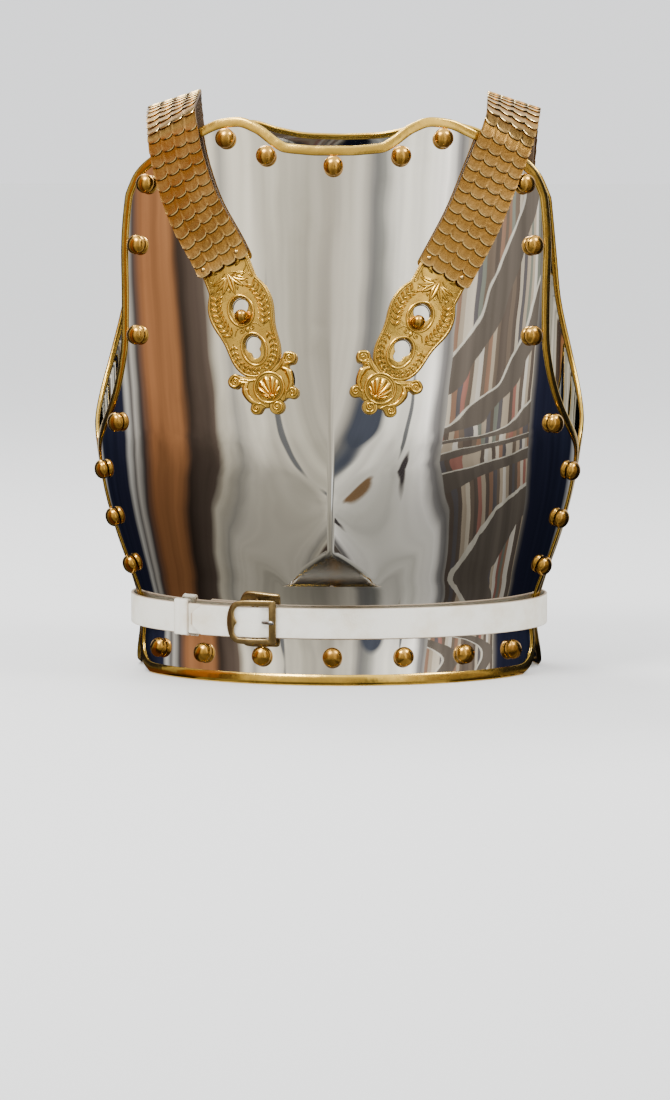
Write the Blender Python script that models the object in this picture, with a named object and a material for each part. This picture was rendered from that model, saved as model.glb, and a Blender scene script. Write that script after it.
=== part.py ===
"""Steel cuirass with brass edging, domed studs, scaled shoulder straps and a leather belt.

The breastplate faces -Y, +X is to the viewer's right and +Z is up. All lengths are in metres.
The plates stand on the flat foot of their flange edging, and the origin lies under the middle.
"""
import math
from collections import namedtuple

import bmesh
import bpy
import numpy as np
from mathutils import Vector

# Plates
PLATE_HEIGHT = 0.453
CHEST_HALF_WIDTH = 0.205
BREAST_DEPTH = 0.1475
BACK_DEPTH = 0.128
STEEL = 0.0015
RIDGE_RISE = 0.0215
UNDERCUT_HALF_WIDTH = 0.039
UNDERCUT_FOOT = 0.172
UNDERCUT_PEAK = 0.240
FLANGE_CORNER = 0.030
SIDE_JOINT = 0.0220

# Brass edging
EDGE_WIDTH = 0.0072
EDGE_WALL = 0.0008
CLEARANCE = 0.0003

# Studs and strap buttons
STUD_RADIUS = 0.0081
STUD_HEIGHT = 0.0085
STUD_INSETS = {"top": 0.0012, "edge": 0.0040, "foot": 0.0055}
STUD_SEAT = 0.0006
BUTTON_RADIUS = 0.0054
BUTTON_NECK = 0.0024
BUTTON_STEM = 0.0034

# Shoulder straps
STRAP_WIDTH = 0.0460
STRAP_LEATHER = 0.0020
STRAP_SEAT = 0.0023
SCALE_PITCH = 0.0100
SCALE_LIFT = 0.0011
SCALE_PLATE = 0.0009
SCALLOP_DEPTH = 0.0030
SCALLOPS = 4
CREST_LEAN = 0.35

# Gilt terminals of the straps
TERMINAL_LENGTH = 0.127
TERMINAL_WIDTH = 0.0530
TERMINAL_WALL = 0.0026
TERMINAL_SEAT = 0.0006
TERMINAL_TAIL = 0.0080
RELIEF = 0.0012
KEYHOLE_RADIUS = 0.0073
KEYHOLE_SLOT = 0.0080
RIM_WIDTH = 0.0021
ROSETTE_RADIUS = 0.0130

# Belt and buckle
BELT_HEIGHT = 0.107
BELT_WIDTH = 0.0250
BELT_LEATHER = 0.0025
BELT_STANDOFF = 0.0027
TONGUE_X = -0.114
BUCKLE_X = -0.0645
BUCKLE_LENGTH = 0.0400
BUCKLE_HEIGHT = 0.0360
BUCKLE_BAR = 0.0060
BUCKLE_WALL = 0.0025
CENTRE_BAR = 0.0022
PRONG_WIDTH = 0.0034
KEEPER_X = -0.1235
KEEPER_WIDTH = 0.0145
KEEPER_LEATHER = 0.0012
KEEPER_STEPS = 4

COLOURS = {
    "steel": ((0.80, 0.80, 0.81), 0.08, 1.0),
    "brass": ((0.75, 0.55, 0.22), 0.18, 1.0),
    "gilt": ((0.85, 0.66, 0.30), 0.25, 1.0),
    "old_brass": ((0.55, 0.42, 0.20), 0.35, 1.0),
    "leather": ((0.86, 0.84, 0.79), 0.6, 0.0),
    "strap_leather": ((0.32, 0.24, 0.16), 0.7, 0.0),
}

# height is a share of PLATE_HEIGHT, width of CHEST_HALF_WIDTH, depth of the plate's own depth.
# edge is the share of the way from the middle round to the side joint where the edging starts.
Section = namedtuple("Section", "height edge width depth")
BREAST_SECTIONS = [
    Section(0.000, 1.000, 0.824, 0.868),
    Section(0.026, 1.000, 0.820, 0.844),
    Section(0.049, 1.000, 0.815, 0.820),
    Section(0.075, 1.000, 0.807, 0.800),
    Section(0.099, 1.000, 0.805, 0.790),
    Section(0.132, 1.000, 0.817, 0.790),
    Section(0.155, 1.000, 0.834, 0.797),
    Section(0.172, 1.000, 0.848, 0.812),
    Section(0.201, 1.000, 0.871, 0.860),
    Section(0.240, 1.000, 0.900, 0.905),
    Section(0.285, 1.000, 0.931, 0.945),
    Section(0.331, 1.000, 0.956, 0.975),
    Section(0.395, 1.000, 0.978, 0.997),
    Section(0.441, 0.888, 0.988, 1.000),
    Section(0.475, 0.815, 0.992, 0.993),
    Section(0.512, 0.765, 0.995, 0.983),
    Section(0.552, 0.732, 0.998, 0.965),
    Section(0.609, 0.710, 1.000, 0.936),
    Section(0.693, 0.717, 1.000, 0.881),
    Section(0.795, 0.744, 0.990, 0.807),
    Section(0.883, 0.752, 0.971, 0.736),
    Section(1.000, 0.752, 0.937, 0.637),
]
BACK_SECTIONS = [
    Section(0.000, 1.000, 0.824, 0.900),
    Section(0.049, 1.000, 0.815, 0.850),
    Section(0.099, 1.000, 0.805, 0.810),
    Section(0.150, 1.000, 0.832, 0.830),
    Section(0.265, 1.000, 0.917, 0.920),
    Section(0.395, 1.000, 0.978, 0.985),
    Section(0.475, 0.840, 0.992, 1.000),
    Section(0.552, 0.730, 0.998, 1.000),
    Section(0.693, 0.630, 1.000, 0.970),
    Section(0.883, 0.600, 0.971, 0.800),
    Section(1.000, 0.580, 0.937, 0.620),
]

# rise is a share of RIDGE_RISE, spread a share of UNDERCUT_HALF_WIDTH.
Ridge = namedtuple("Ridge", "height rise spread")
RIDGE = [
    Ridge(0.160, 1.75, 1.00),
    Ridge(0.172, 1.65, 1.00),
    Ridge(0.205, 1.30, 1.30),
    Ridge(0.240, 1.00, 1.65),
    Ridge(0.285, 0.74, 2.00),
    Ridge(0.350, 0.45, 2.40),
    Ridge(0.430, 0.22, 2.70),
    Ridge(0.530, 0.07, 2.90),
    Ridge(0.640, 0.00, 3.00),
]

# The upper outline, from the middle (0) to the armhole (1).
Outline = namedtuple("Outline", "across height")
BREAST_TOP = [
    Outline(0.000, 0.9525), Outline(0.070, 0.9525), Outline(0.140, 0.9545), Outline(0.216, 0.958),
    Outline(0.266, 0.968), Outline(0.361, 0.993), Outline(0.442, 1.003), Outline(0.520, 1.000),
    Outline(0.607, 0.987), Outline(0.800, 0.950), Outline(0.905, 0.928), Outline(0.960, 0.910),
    Outline(1.000, 0.880),
]
BACK_TOP = [
    Outline(0.000, 0.975), Outline(0.150, 0.977), Outline(0.300, 0.988), Outline(0.420, 1.000),
    Outline(0.560, 0.992), Outline(0.800, 0.950), Outline(0.940, 0.910), Outline(1.000, 0.870),
]
BREAST_COLUMNS = [0.08, 0.163, 0.25, 0.35, 0.44, 0.54, 0.68, 0.82, 0.92, 1.0]
BACK_COLUMNS = [0.18, 0.36, 0.56, 0.76, 0.92, 1.0]

# Rows of the plate: side and middle heights differ where a row follows the undercut's crease.
Row = namedtuple("Row", "side middle")
FOOT_ROWS = [0.0, 0.3, 0.65]
BREAST_ROWS = [
    Row(0.099, 0.099), Row(0.138, 0.138), Row(0.172, 0.172), Row(0.180, 0.240), Row(0.200, 0.258),
    Row(0.228, 0.280), Row(0.268, 0.305), Row(0.315, 0.330), Row(0.370, 0.370), Row(0.425, 0.425),
    Row(0.475, 0.475), Row(0.520, 0.520),
]
BACK_ROWS = [
    Row(0.099, 0.099), Row(0.180, 0.180), Row(0.280, 0.280), Row(0.360, 0.360), Row(0.410, 0.410),
    Row(0.445, 0.445), Row(0.480, 0.480), Row(0.530, 0.530), Row(0.590, 0.590),
]
BREAST_TOP_ROWS = [0.2, 0.4, 0.6, 0.8, 0.92, 1.0]
BACK_TOP_ROWS = [0.35, 0.7, 1.0]

# Stud stations: a side of the plate, and the share of the way along that side.
Station = namedtuple("Station", "side share")
BREAST_STUDS = [
    Station("top", 0.00), Station("top", 0.265), Station("top", 0.50), Station("top", 0.950),
    Station("edge", 0.775), Station("edge", 0.617), Station("edge", 0.475), Station("edge", 0.367),
    Station("edge", 0.280), Station("edge", 0.192),
    Station("foot", 0.00), Station("foot", 0.260), Station("foot", 0.510), Station("foot", 0.770),
]
BACK_STUDS = [
    Station("top", 0.00), Station("top", 0.30), Station("edge", 0.700),
    Station("foot", 0.00), Station("foot", 0.560),
]

# Strap routes: across is a share of CHEST_HALF_WIDTH, height of PLATE_HEIGHT.
Waypoint = namedtuple("Waypoint", "across height")
Crest = namedtuple("Crest", "across depth height")
STRAPS = {
    "right": dict(
        front=[Waypoint(0.135, 0.485), Waypoint(0.295, 0.615), Waypoint(0.447, 0.742),
               Waypoint(0.542, 0.823), Waypoint(0.611, 0.901), Waypoint(0.675, 0.975)],
        crest=[Crest(0.695, -0.200, 1.016), Crest(0.697, 0.130, 1.022)],
        back=[Waypoint(0.690, 0.990), Waypoint(0.680, 0.925), Waypoint(0.665, 0.865)]),
    "left": dict(
        front=[Waypoint(-0.196, 0.484), Waypoint(-0.290, 0.586), Waypoint(-0.425, 0.746),
               Waypoint(-0.540, 0.836), Waypoint(-0.610, 0.925), Waypoint(-0.636, 0.985)],
        crest=[Crest(-0.650, -0.200, 1.018), Crest(-0.660, 0.130, 1.026)],
        back=[Waypoint(-0.665, 0.990), Waypoint(-0.660, 0.925), Waypoint(-0.650, 0.865)]),
}

# Terminal outline: along is a share of TERMINAL_LENGTH, half a share of TERMINAL_WIDTH.
Girth = namedtuple("Girth", "along half")
TERMINAL_OUTLINE = [
    Girth(0.235, 0.20), Girth(0.275, 0.32), Girth(0.320, 0.372), Girth(0.370, 0.395),
    Girth(0.430, 0.402), Girth(0.520, 0.410), Girth(0.590, 0.440), Girth(0.650, 0.485),
    Girth(0.715, 0.500), Girth(0.785, 0.490), Girth(0.845, 0.455), Girth(0.885, 0.395),
    Girth(1.000, 0.385),
]
Boss = namedtuple("Boss", "along across radius")
VOLUTES = [
    Boss(0.299, 0.44, 0.0062), Boss(0.299, -0.44, 0.0062),
    Boss(0.096, 0.285, 0.0056), Boss(0.096, -0.285, 0.0056), Boss(0.047, 0.0, 0.0060),
]
ROSETTE_ALONG = 0.181
SCROLL_WIDTH = 0.72
Keyhole = namedtuple("Keyhole", "round_along slot_along rim_along rim_half_width rim_half_length")
KEYHOLES = [
    Keyhole(0.736, 0.630, 0.703, 0.0107, 0.0133),
    Keyhole(0.480, 0.376, 0.443, 0.0104, 0.0137),
]
BUTTON_ALONG = 0.661


def clear_scene():
    for thing in list(bpy.data.objects):
        bpy.data.objects.remove(thing)


def material(name):
    found = bpy.data.materials.get(name)
    if found:
        return found
    colour, roughness, metallic = COLOURS[name]
    made = bpy.data.materials.new(name)
    made.use_nodes = True
    shader = made.node_tree.nodes["Principled BSDF"]
    shader.inputs["Base Color"].default_value = (*colour, 1.0)
    shader.inputs["Roughness"].default_value = roughness
    shader.inputs["Metallic"].default_value = metallic
    return made


def solid(name, points, faces, finish, angle=35.0):
    mesh = bpy.data.meshes.new(name)
    mesh.from_pydata([tuple(p) for p in points], [], faces)
    bm = bmesh.new()
    bm.from_mesh(mesh)
    bmesh.ops.recalc_face_normals(bm, faces=bm.faces)
    bm.to_mesh(mesh)
    bm.free()
    mesh.shade_smooth()
    mesh.set_sharp_from_angle(angle=math.radians(angle))
    mesh.materials.append(material(finish))
    thing = bpy.data.objects.new(name, mesh)
    bpy.context.scene.collection.objects.link(thing)
    return thing


def smooth(rows, column, at, start="height"):
    """Monotone cubic curve through one column of a table."""
    xs = [getattr(row, start) for row in rows]
    ys = [getattr(row, column) for row in rows]
    at = min(max(at, xs[0]), xs[-1])
    i = max(k for k in range(len(xs) - 1) if xs[k] <= at)
    slopes = [(ys[k + 1] - ys[k]) / (xs[k + 1] - xs[k]) for k in range(len(xs) - 1)]

    def tangent(k):
        if k == 0:
            return slopes[0]
        if k == len(slopes):
            return slopes[-1]
        before, after = slopes[k - 1], slopes[k]
        if before * after <= 0.0:
            return 0.0
        return 2.0 * before * after / (before + after)

    span = xs[i + 1] - xs[i]
    t = (at - xs[i]) / span
    return (ys[i] * (1 + 2 * t) * (1 - t) ** 2 + ys[i + 1] * t * t * (3 - 2 * t)
            + span * (tangent(i) * t * (1 - t) ** 2 - tangent(i + 1) * t * t * (1 - t)))


class Plate:
    """A bowed plate, given by its angle round the body and its height."""

    def __init__(self, sections, top, depth, facing, ridged, columns, rows, top_rows):
        self.sections = sections
        self.top = top
        self.depth = depth
        self.facing = facing
        self.ridged = ridged
        self.columns = [-u for u in reversed(columns)] + [0.0] + list(columns)
        self.rows = rows
        self.top_rows = top_rows

    def read(self, column, z):
        return smooth(self.sections, column, z / PLATE_HEIGHT)

    def width_at(self, z):
        return self.read("width", z) * CHEST_HALF_WIDTH

    def depth_at(self, z):
        return self.read("depth", z) * self.depth

    def edge_angle(self, z):
        """The angle where the edging starts: at the side joint, or further in at the armhole."""
        if self.ridged:
            joint = SIDE_JOINT + EDGE_WIDTH
        else:
            joint = -(SIDE_JOINT - 2 * (CLEARANCE + EDGE_WALL) - CLEARANCE - EDGE_WIDTH)
        return math.acos(joint / self.depth_at(z)) * self.read("edge", z)

    def bulge(self, x, z, cosine):
        reach = self.depth_at(z) * cosine
        share = z / PLATE_HEIGHT
        if not self.ridged or share < UNDERCUT_FOOT or share > RIDGE[-1].height:
            return reach
        spread = smooth(RIDGE, "spread", share) * UNDERCUT_HALF_WIDTH
        near = max(0.0, 1.0 - abs(x) / spread)
        swell = reach + smooth(RIDGE, "rise", share) * RIDGE_RISE * near ** 1.6
        foot = UNDERCUT_FOOT * PLATE_HEIGHT
        peak = UNDERCUT_PEAK * PLATE_HEIGHT
        apex = self.depth_at(peak) + RIDGE_RISE
        slope = (apex - self.depth_at(foot)) / (peak - foot)
        return min(swell, self.depth_at(foot) * cosine + slope * (z - foot))

    def point(self, angle, z):
        x = -self.facing * self.width_at(z) * math.sin(angle)
        return Vector((x, self.facing * self.bulge(x, z, math.cos(angle)), z))

    def slopes(self, angle, z):
        step = 1e-4
        around = (self.point(angle + step, z) - self.point(angle - step, z)) / (2 * step)
        upward = (self.point(angle, z + step) - self.point(angle, z - step)) / (2 * step)
        return around, upward

    def normal(self, angle, z):
        around, upward = self.slopes(angle, z)
        return around.cross(upward).normalized()

    def angle_for(self, x, z):
        return math.asin(max(-1.0, min(1.0, -self.facing * x / self.width_at(z))))

    def foot_height(self, u):
        inset = FLANGE_CORNER - 1e-9
        reach = (1.0 - abs(u)) * self.edge_angle(0.0) * self.depth_at(0.0)
        if reach >= inset:
            return EDGE_WIDTH
        return EDGE_WIDTH + inset - math.sqrt(inset ** 2 - (inset - reach) ** 2)

    def top_height(self, u):
        return smooth(self.top, "height", abs(u), "across") * PLATE_HEIGHT - EDGE_WIDTH

    def place(self, u, z):
        angle = u * self.edge_angle(z)
        return self.point(angle, z), self.normal(angle, z)

    def row_height(self, row, u):
        middle = row.middle * PLATE_HEIGHT
        side = row.side * PLATE_HEIGHT
        x = abs(self.place(u, side)[0].x)
        fall = (UNDERCUT_PEAK - UNDERCUT_FOOT) * PLATE_HEIGHT / UNDERCUT_HALF_WIDTH
        return max(side, middle - fall * x)

    def grid(self):
        lattice = []
        waist = self.rows[0].side * PLATE_HEIGHT
        for share in FOOT_ROWS:
            heights = [self.foot_height(u) for u in self.columns]
            lattice.append([h + (waist - h) * share for h in heights])
        for row in self.rows:
            lattice.append([self.row_height(row, u) for u in self.columns])
        crown = self.rows[-1].side * PLATE_HEIGHT
        for share in self.top_rows:
            lattice.append([crown + (self.top_height(u) - crown) * share for u in self.columns])
        return [[self.place(u, z) for u, z in zip(self.columns, line)] for line in lattice]


def loop_indices(rows, columns):
    """Grid places round the border, counter-clockwise seen from outside."""
    foot = [(0, c) for c in range(columns - 1)]
    right = [(r, columns - 1) for r in range(rows - 1)]
    top = [(rows - 1, c) for c in range(columns - 1, 0, -1)]
    left = [(r, 0) for r in range(rows - 1, 0, -1)]
    return foot + right + top + left


class Border:
    """The band along a plate's edge that the brass edging wraps."""

    def __init__(self, plate):
        self.grid = plate.grid()
        self.rows = len(self.grid)
        self.columns = len(self.grid[0])
        self.loop = loop_indices(self.rows, self.columns)
        inner = [self.grid[r][c][0] for r, c in self.loop]
        count = len(inner)
        self.inner, self.outer, self.normals, self.outward = inner, [], [], []
        for k in range(count):
            ahead = (inner[(k + 1) % count] - inner[k]).normalized()
            behind = (inner[k] - inner[k - 1]).normalized()
            along = (ahead + behind).normalized()
            r, c = self.loop[k]
            outward = along.cross(self.grid[r][c][1]).normalized()
            normal = outward.cross(along).normalized()
            stretch = 1.0 / max(0.8, ahead.dot(along))
            self.normals.append(normal)
            self.outward.append(outward)
            self.outer.append(inner[k] + outward * EDGE_WIDTH * stretch)


def build_plate(name, border):
    rows, columns = border.rows, border.columns
    normals = {place: n for place, n in zip(border.loop, border.normals)}
    outside, inside = [], []
    for r in range(rows):
        for c in range(columns):
            point, normal = border.grid[r][c]
            normal = normals.get((r, c), normal)
            outside.append(point)
            inside.append(point - normal * STEEL)
    count = len(border.loop)
    field = rows * columns
    points = outside + border.outer + inside
    points += [p - n * STEEL for p, n in zip(border.outer, border.normals)]
    back = field + count
    faces = []
    for r in range(rows - 1):
        for c in range(columns - 1):
            quad = [r * columns + c, r * columns + c + 1, (r + 1) * columns + c + 1, (r + 1) * columns + c]
            faces.append(quad)
            faces.append([back + i for i in reversed(quad)])
    for k in range(count):
        n = (k + 1) % count
        here = border.loop[k][0] * columns + border.loop[k][1]
        there = border.loop[n][0] * columns + border.loop[n][1]
        faces.append([field + k, field + n, there, here])
        faces.append([back + here, back + there, back + field + n, back + field + k])
        faces.append([back + field + k, back + field + n, field + n, field + k])
    return solid(name, points, faces, "steel")


def sweep(name, sections, finish, closed=False, angle=35.0):
    """Skin a row of like cross-sections, with caps unless it closes on itself."""
    size = len(sections[0])
    points = [p for section in sections for p in section]
    faces = []
    turns = len(sections) if closed else len(sections) - 1
    for i in range(turns):
        j = (i + 1) % len(sections)
        for k in range(size):
            m = (k + 1) % size
            faces.append([i * size + k, i * size + m, j * size + m])
            faces.append([i * size + k, j * size + m, j * size + k])
    if not closed:
        faces.append(list(range(size)))
        faces.append([(len(sections) - 1) * size + k for k in reversed(range(size))])
    return solid(name, points, faces, finish, angle)


def edging_section(border, k, floor):
    inner, outer = border.inner[k], border.outer[k]
    normal, outward = border.normals[k], border.outward[k]
    above = CLEARANCE + EDGE_WALL
    below = STEEL + CLEARANCE
    lip = outer.lerp(inner, 0.55)
    section = [
        inner + normal * CLEARANCE,
        inner + normal * above,
        outer + outward * above + normal * above,
        outer + outward * above - normal * (below + EDGE_WALL),
        lip - normal * (below + EDGE_WALL),
        lip - normal * below,
        outer + outward * CLEARANCE - normal * below,
        outer + outward * CLEARANCE + normal * CLEARANCE,
    ]
    if floor is not None:
        section[2].z = floor
        section[3].z = floor
    return section


def foot_level(border):
    """The lowest height that the edging reaches round the flange's foot."""
    return min(min(p.z for p in edging_section(border, k, None)) for k in range(border.columns - 1))


def build_edging(prefix, border, level):
    """Two brass channels: one round the flange's foot, one up the sides and over the top."""
    count = len(border.loop)
    corner = border.columns - 1
    rest = max(border.outer[k].z for k in range(3, corner - 2)) + EDGE_WALL

    def section(k):
        flat = k <= corner and border.outer[k].z <= rest
        return edging_section(border, k, level if flat else None)

    def ends_trimmed(run):
        first = [a.lerp(b, CLEARANCE / max(CLEARANCE, (b - a).length)) for a, b in zip(run[0], run[1])]
        last = [a.lerp(b, CLEARANCE / max(CLEARANCE, (b - a).length)) for a, b in zip(run[-1], run[-2])]
        return [first] + run[1:-1] + [last]

    foot = [section(k) for k in range(0, corner + 1)]
    sweep(prefix + "_flange_edging", ends_trimmed(foot), "brass")
    upper = [section(k % count) for k in range(corner, count + 1)]
    sweep(prefix + "_edging", ends_trimmed(upper), "brass")


def frame_at(normal):
    """Two directions square to a normal."""
    side = Vector((0, 0, 1)).cross(normal)
    if side.length < 0.1:
        side = Vector((1, 0, 0))
    side = side.normalized()
    return side, normal.cross(side)


def turned(name, centre, normal, profile, finish, segments):
    """A round piece from (radius, height) pairs, standing on a surface."""
    side, up = frame_at(normal)
    rings = []
    for radius, height in profile:
        rings.append([centre + normal * height + (side * math.cos(a) + up * math.sin(a)) * radius
                      for a in (2 * math.pi * i / segments for i in range(segments))])
    return sweep(name, rings, finish, angle=50.0)


def stud(name, centre, normal):
    profile = [(STUD_RADIUS * math.cos(a), STUD_HEIGHT * math.sin(a))
               for a in (math.radians(d) for d in (0, 36, 70))]
    turned(name, centre + normal * STUD_SEAT, normal, profile, "brass", 10)


def station_place(plate, station, mirror):
    """The stud's seat: inset from the edging by the stud's own radius and a gap."""
    if station.side == "edge":
        u = mirror
        z = station.share * PLATE_HEIGHT
    else:
        u = station.share * mirror
        z = plate.top_height(u) if station.side == "top" else plate.foot_height(u)
    step = 0.002
    here = plate.place(u, z)
    if station.side == "edge":
        other = plate.place(u, z + step)[0]
    else:
        v = u + step * (1 if u < 0.5 else -1)
        other = plate.place(v, plate.top_height(v) if station.side == "top" else plate.foot_height(v))[0]
    along = (other - here[0]).normalized()
    inward = here[1].cross(along).normalized()
    middle = plate.place(0.0, 0.5 * PLATE_HEIGHT)[0]
    if inward.dot(middle - here[0]) < 0:
        inward = -inward
    reach = STUD_RADIUS + STUD_INSETS[station.side]
    angle = u * plate.edge_angle(z)
    around, upward = plate.slopes(angle, z)
    move_angle = inward.dot(around.normalized()) * reach / around.length
    move_up = inward.dot(upward.normalized()) * reach / upward.length
    return plate.point(angle + move_angle, z + move_up), plate.normal(angle + move_angle, z + move_up)


def build_studs(prefix, plate, stations):
    tally = {}
    for station in stations:
        mirrors = [("middle", 1.0)] if station.share == 0.0 else [("left", -1.0), ("right", 1.0)]
        number = tally.get(station.side, 0) + 1
        tally[station.side] = number
        for word, mirror in mirrors:
            sign = mirror * -plate.facing
            centre, normal = station_place(plate, station, sign)
            stud("%s_stud_%s_%d_%s" % (prefix, station.side, number, word), centre, normal)


class Ribbon:
    """A band along a smooth route: s runs along it, t across it and h stands out from it."""

    def __init__(self, points, normals):
        spans = [0.0]
        for a, b in zip(points, points[1:]):
            spans.append(spans[-1] + (b - a).length)
        self.length = spans[-1]
        self.spans = np.array(spans)
        self.points = np.array([tuple(p) for p in points])
        self.normals = np.array([tuple(n) for n in normals])

    def read(self, table, s):
        return Vector([float(np.interp(s, self.spans, table[:, i])) for i in range(3)])

    def at(self, s, t, h):
        step = 0.002
        along = (self.read(self.points, s + step) - self.read(self.points, s - step)).normalized()
        normal = self.read(self.normals, s)
        across = along.cross(normal).normalized()
        normal = across.cross(along).normalized()
        return self.read(self.points, s) + across * t + normal * h


def catmull(values, steps):
    """Smooth curve through vectors, evenly split between each pair."""
    out = []
    for i in range(len(values) - 1):
        a, b, c, d = (values[max(i - 1, 0)], values[i], values[i + 1], values[min(i + 2, len(values) - 1)])
        for k in range(steps):
            t = k / steps
            out.append(0.5 * ((2 * b) + (c - a) * t + (2 * a - 5 * b + 4 * c - d) * t ** 2
                              + (3 * b - a - 3 * c + d) * t ** 3))
    out.append(values[-1])
    return out


def strap_route(breast, back, route):
    front = [Vector((w.across * CHEST_HALF_WIDTH, w.height * PLATE_HEIGHT, 0)) for w in route["front"]]
    points, normals = [], []
    for p in catmull(front, 6):
        angle = breast.angle_for(p.x, p.y)
        points.append(breast.point(angle, p.y))
        normals.append(breast.normal(angle, p.y))
    for crest in route["crest"]:
        points.append(Vector((crest.across * CHEST_HALF_WIDTH, crest.depth * BREAST_DEPTH,
                              crest.height * PLATE_HEIGHT)))
        lean = math.copysign(CREST_LEAN, crest.across)
        normals.append(Vector((lean, crest.depth, 1.0)).normalized())
    for w in route["back"]:
        angle = back.angle_for(w.across * CHEST_HALF_WIDTH, w.height * PLATE_HEIGHT)
        points.append(back.point(angle, w.height * PLATE_HEIGHT))
        normals.append(back.normal(angle, w.height * PLATE_HEIGHT))
    return Ribbon(catmull(points, 8), [n.normalized() for n in catmull(normals, 8)])


def band(ribbon, stations, half, low, high):
    """Rectangular sections of a strap."""
    return [[ribbon.at(s, -half, low), ribbon.at(s, half, low), ribbon.at(s, half, high),
             ribbon.at(s, -half, high)] for s in stations]


def build_strap(side, ribbon):
    start = TERMINAL_LENGTH + TERMINAL_TAIL + CLEARANCE
    half = STRAP_WIDTH / 2
    count = int((ribbon.length - TERMINAL_LENGTH - SCALLOP_DEPTH) / SCALE_PITCH)
    stations = [TERMINAL_LENGTH + i * SCALE_PITCH for i in range(1, count + 1)]
    stations = [start] + [s for s in stations if s > start + STRAP_LEATHER]
    top = STRAP_SEAT + STRAP_LEATHER
    sweep(side + "_strap_leather", band(ribbon, stations, half - SCALE_PLATE, STRAP_SEAT, top), "strap_leather")
    build_scales(side, ribbon, top + CLEARANCE)


def build_scales(side, ribbon, base):
    """Overlapping brass rows, each with a scalloped lower edge that stands over the next."""
    rows = int((ribbon.length - TERMINAL_LENGTH - SCALLOP_DEPTH) / SCALE_PITCH)
    half = STRAP_WIDTH / 2
    steps = SCALLOPS * 2
    across = [-half + STRAP_WIDTH * i / steps for i in range(steps + 1)]
    dips = [SCALLOP_DEPTH if i % 2 == 0 else 0.0 for i in range(steps + 1)]
    points, lines = [], []

    def line(s, height, shaped):
        lines.append(range(len(points), len(points) + steps + 1))
        for t, dip in zip(across, dips):
            points.append(ribbon.at(s + (dip if shaped else 0.0), t, height))

    body = base + SCALE_PLATE
    line(TERMINAL_LENGTH, base, True)
    for i in range(rows):
        s = TERMINAL_LENGTH + i * SCALE_PITCH
        if i > 0:
            line(s, body, True)
        line(s, body + SCALE_LIFT, True)
    line(TERMINAL_LENGTH + rows * SCALE_PITCH, body, False)
    faces = []
    for low, high in zip(lines, lines[1:]):
        for i in range(steps):
            faces.append([low[i], low[i + 1], high[i + 1], high[i]])
    stations = [TERMINAL_LENGTH + i * SCALE_PITCH for i in range(1, rows + 1)]
    left, right = [lines[0][0]], [lines[0][-1]]
    for s in stations:
        left.append(len(points))
        points.append(ribbon.at(s, -half, base))
        right.append(len(points))
        points.append(ribbon.at(s, half, base))
    faces.append([left[1], right[1]] + list(reversed(lines[0])))
    for i in range(1, len(left) - 1):
        faces.append([left[i], left[i + 1], right[i]])
        faces.append([left[i + 1], right[i + 1], right[i]])
    faces.append([left[-1], right[-1]] + list(reversed(lines[-1])))
    faces += side_faces([l[0] for l in lines], left)
    faces += [list(reversed(f)) for f in side_faces([l[-1] for l in lines], right)]
    solid(side + "_strap_scales", points, faces, "brass")


def side_faces(upper, lower):
    """Close a scale strap's flank, tooth by tooth."""
    faces = [[lower[0], upper[1], upper[2], lower[1]]]
    for i in range(1, len(lower) - 2):
        faces.append([lower[i], upper[2 * i], upper[2 * i + 1], upper[2 * i + 2], lower[i + 1]])
    faces.append([lower[-2], upper[-3], upper[-2], upper[-1], lower[-1]])
    return faces


def prism(outline, low, high):
    """An upright block over a flat outline, as a loose object for cutting and joining."""
    count = len(outline)
    points = [(x, y, low) for x, y in outline] + [(x, y, high) for x, y in outline]
    faces = [list(reversed(range(count))), [count + i for i in range(count)]]
    faces += [[i, (i + 1) % count, count + (i + 1) % count, count + i] for i in range(count)]
    mesh = bpy.data.meshes.new("block")
    mesh.from_pydata(points, [], faces)
    thing = bpy.data.objects.new("block", mesh)
    bpy.context.scene.collection.objects.link(thing)
    return thing


def ellipse(x, y, half_x, half_y, count, turn=0.0):
    return [(x + half_x * math.cos(a), y + half_y * math.sin(a))
            for a in (2 * math.pi * (i + turn) / count for i in range(count))]


def combine(base, tool, operation):
    """Apply one Boolean step to the base and drop the tool."""
    step = base.modifiers.new("step", "BOOLEAN")
    step.operation = operation
    step.solver = "EXACT"
    step.object = tool
    view = bpy.context.evaluated_depsgraph_get()
    made = bpy.data.meshes.new_from_object(base.evaluated_get(view))
    base.modifiers.clear()
    base.data = made
    bpy.data.objects.remove(tool)


def ring_cut(outer, inner, low, high):
    ring = prism(outer, low, high)
    combine(ring, prism(inner, low - RELIEF, high + RELIEF), "DIFFERENCE")
    return ring


def keyhole_outline(hole):
    radius = KEYHOLE_RADIUS
    slot = KEYHOLE_SLOT / 2
    round_at = hole.round_along * TERMINAL_LENGTH
    slot_at = hole.slot_along * TERMINAL_LENGTH + slot
    start = -math.asin(slot / radius)
    turn = math.pi - 2 * start
    outline = [(radius * math.cos(start + turn * i / 7), radius * math.sin(start + turn * i / 7))
               for i in range(8)]
    outline = [(x, round_at + y) for x, y in outline]
    drop = math.pi / 3
    outline += [(-slot * math.cos(drop * i), slot_at - slot * math.sin(drop * i)) for i in range(4)]
    return outline


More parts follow.
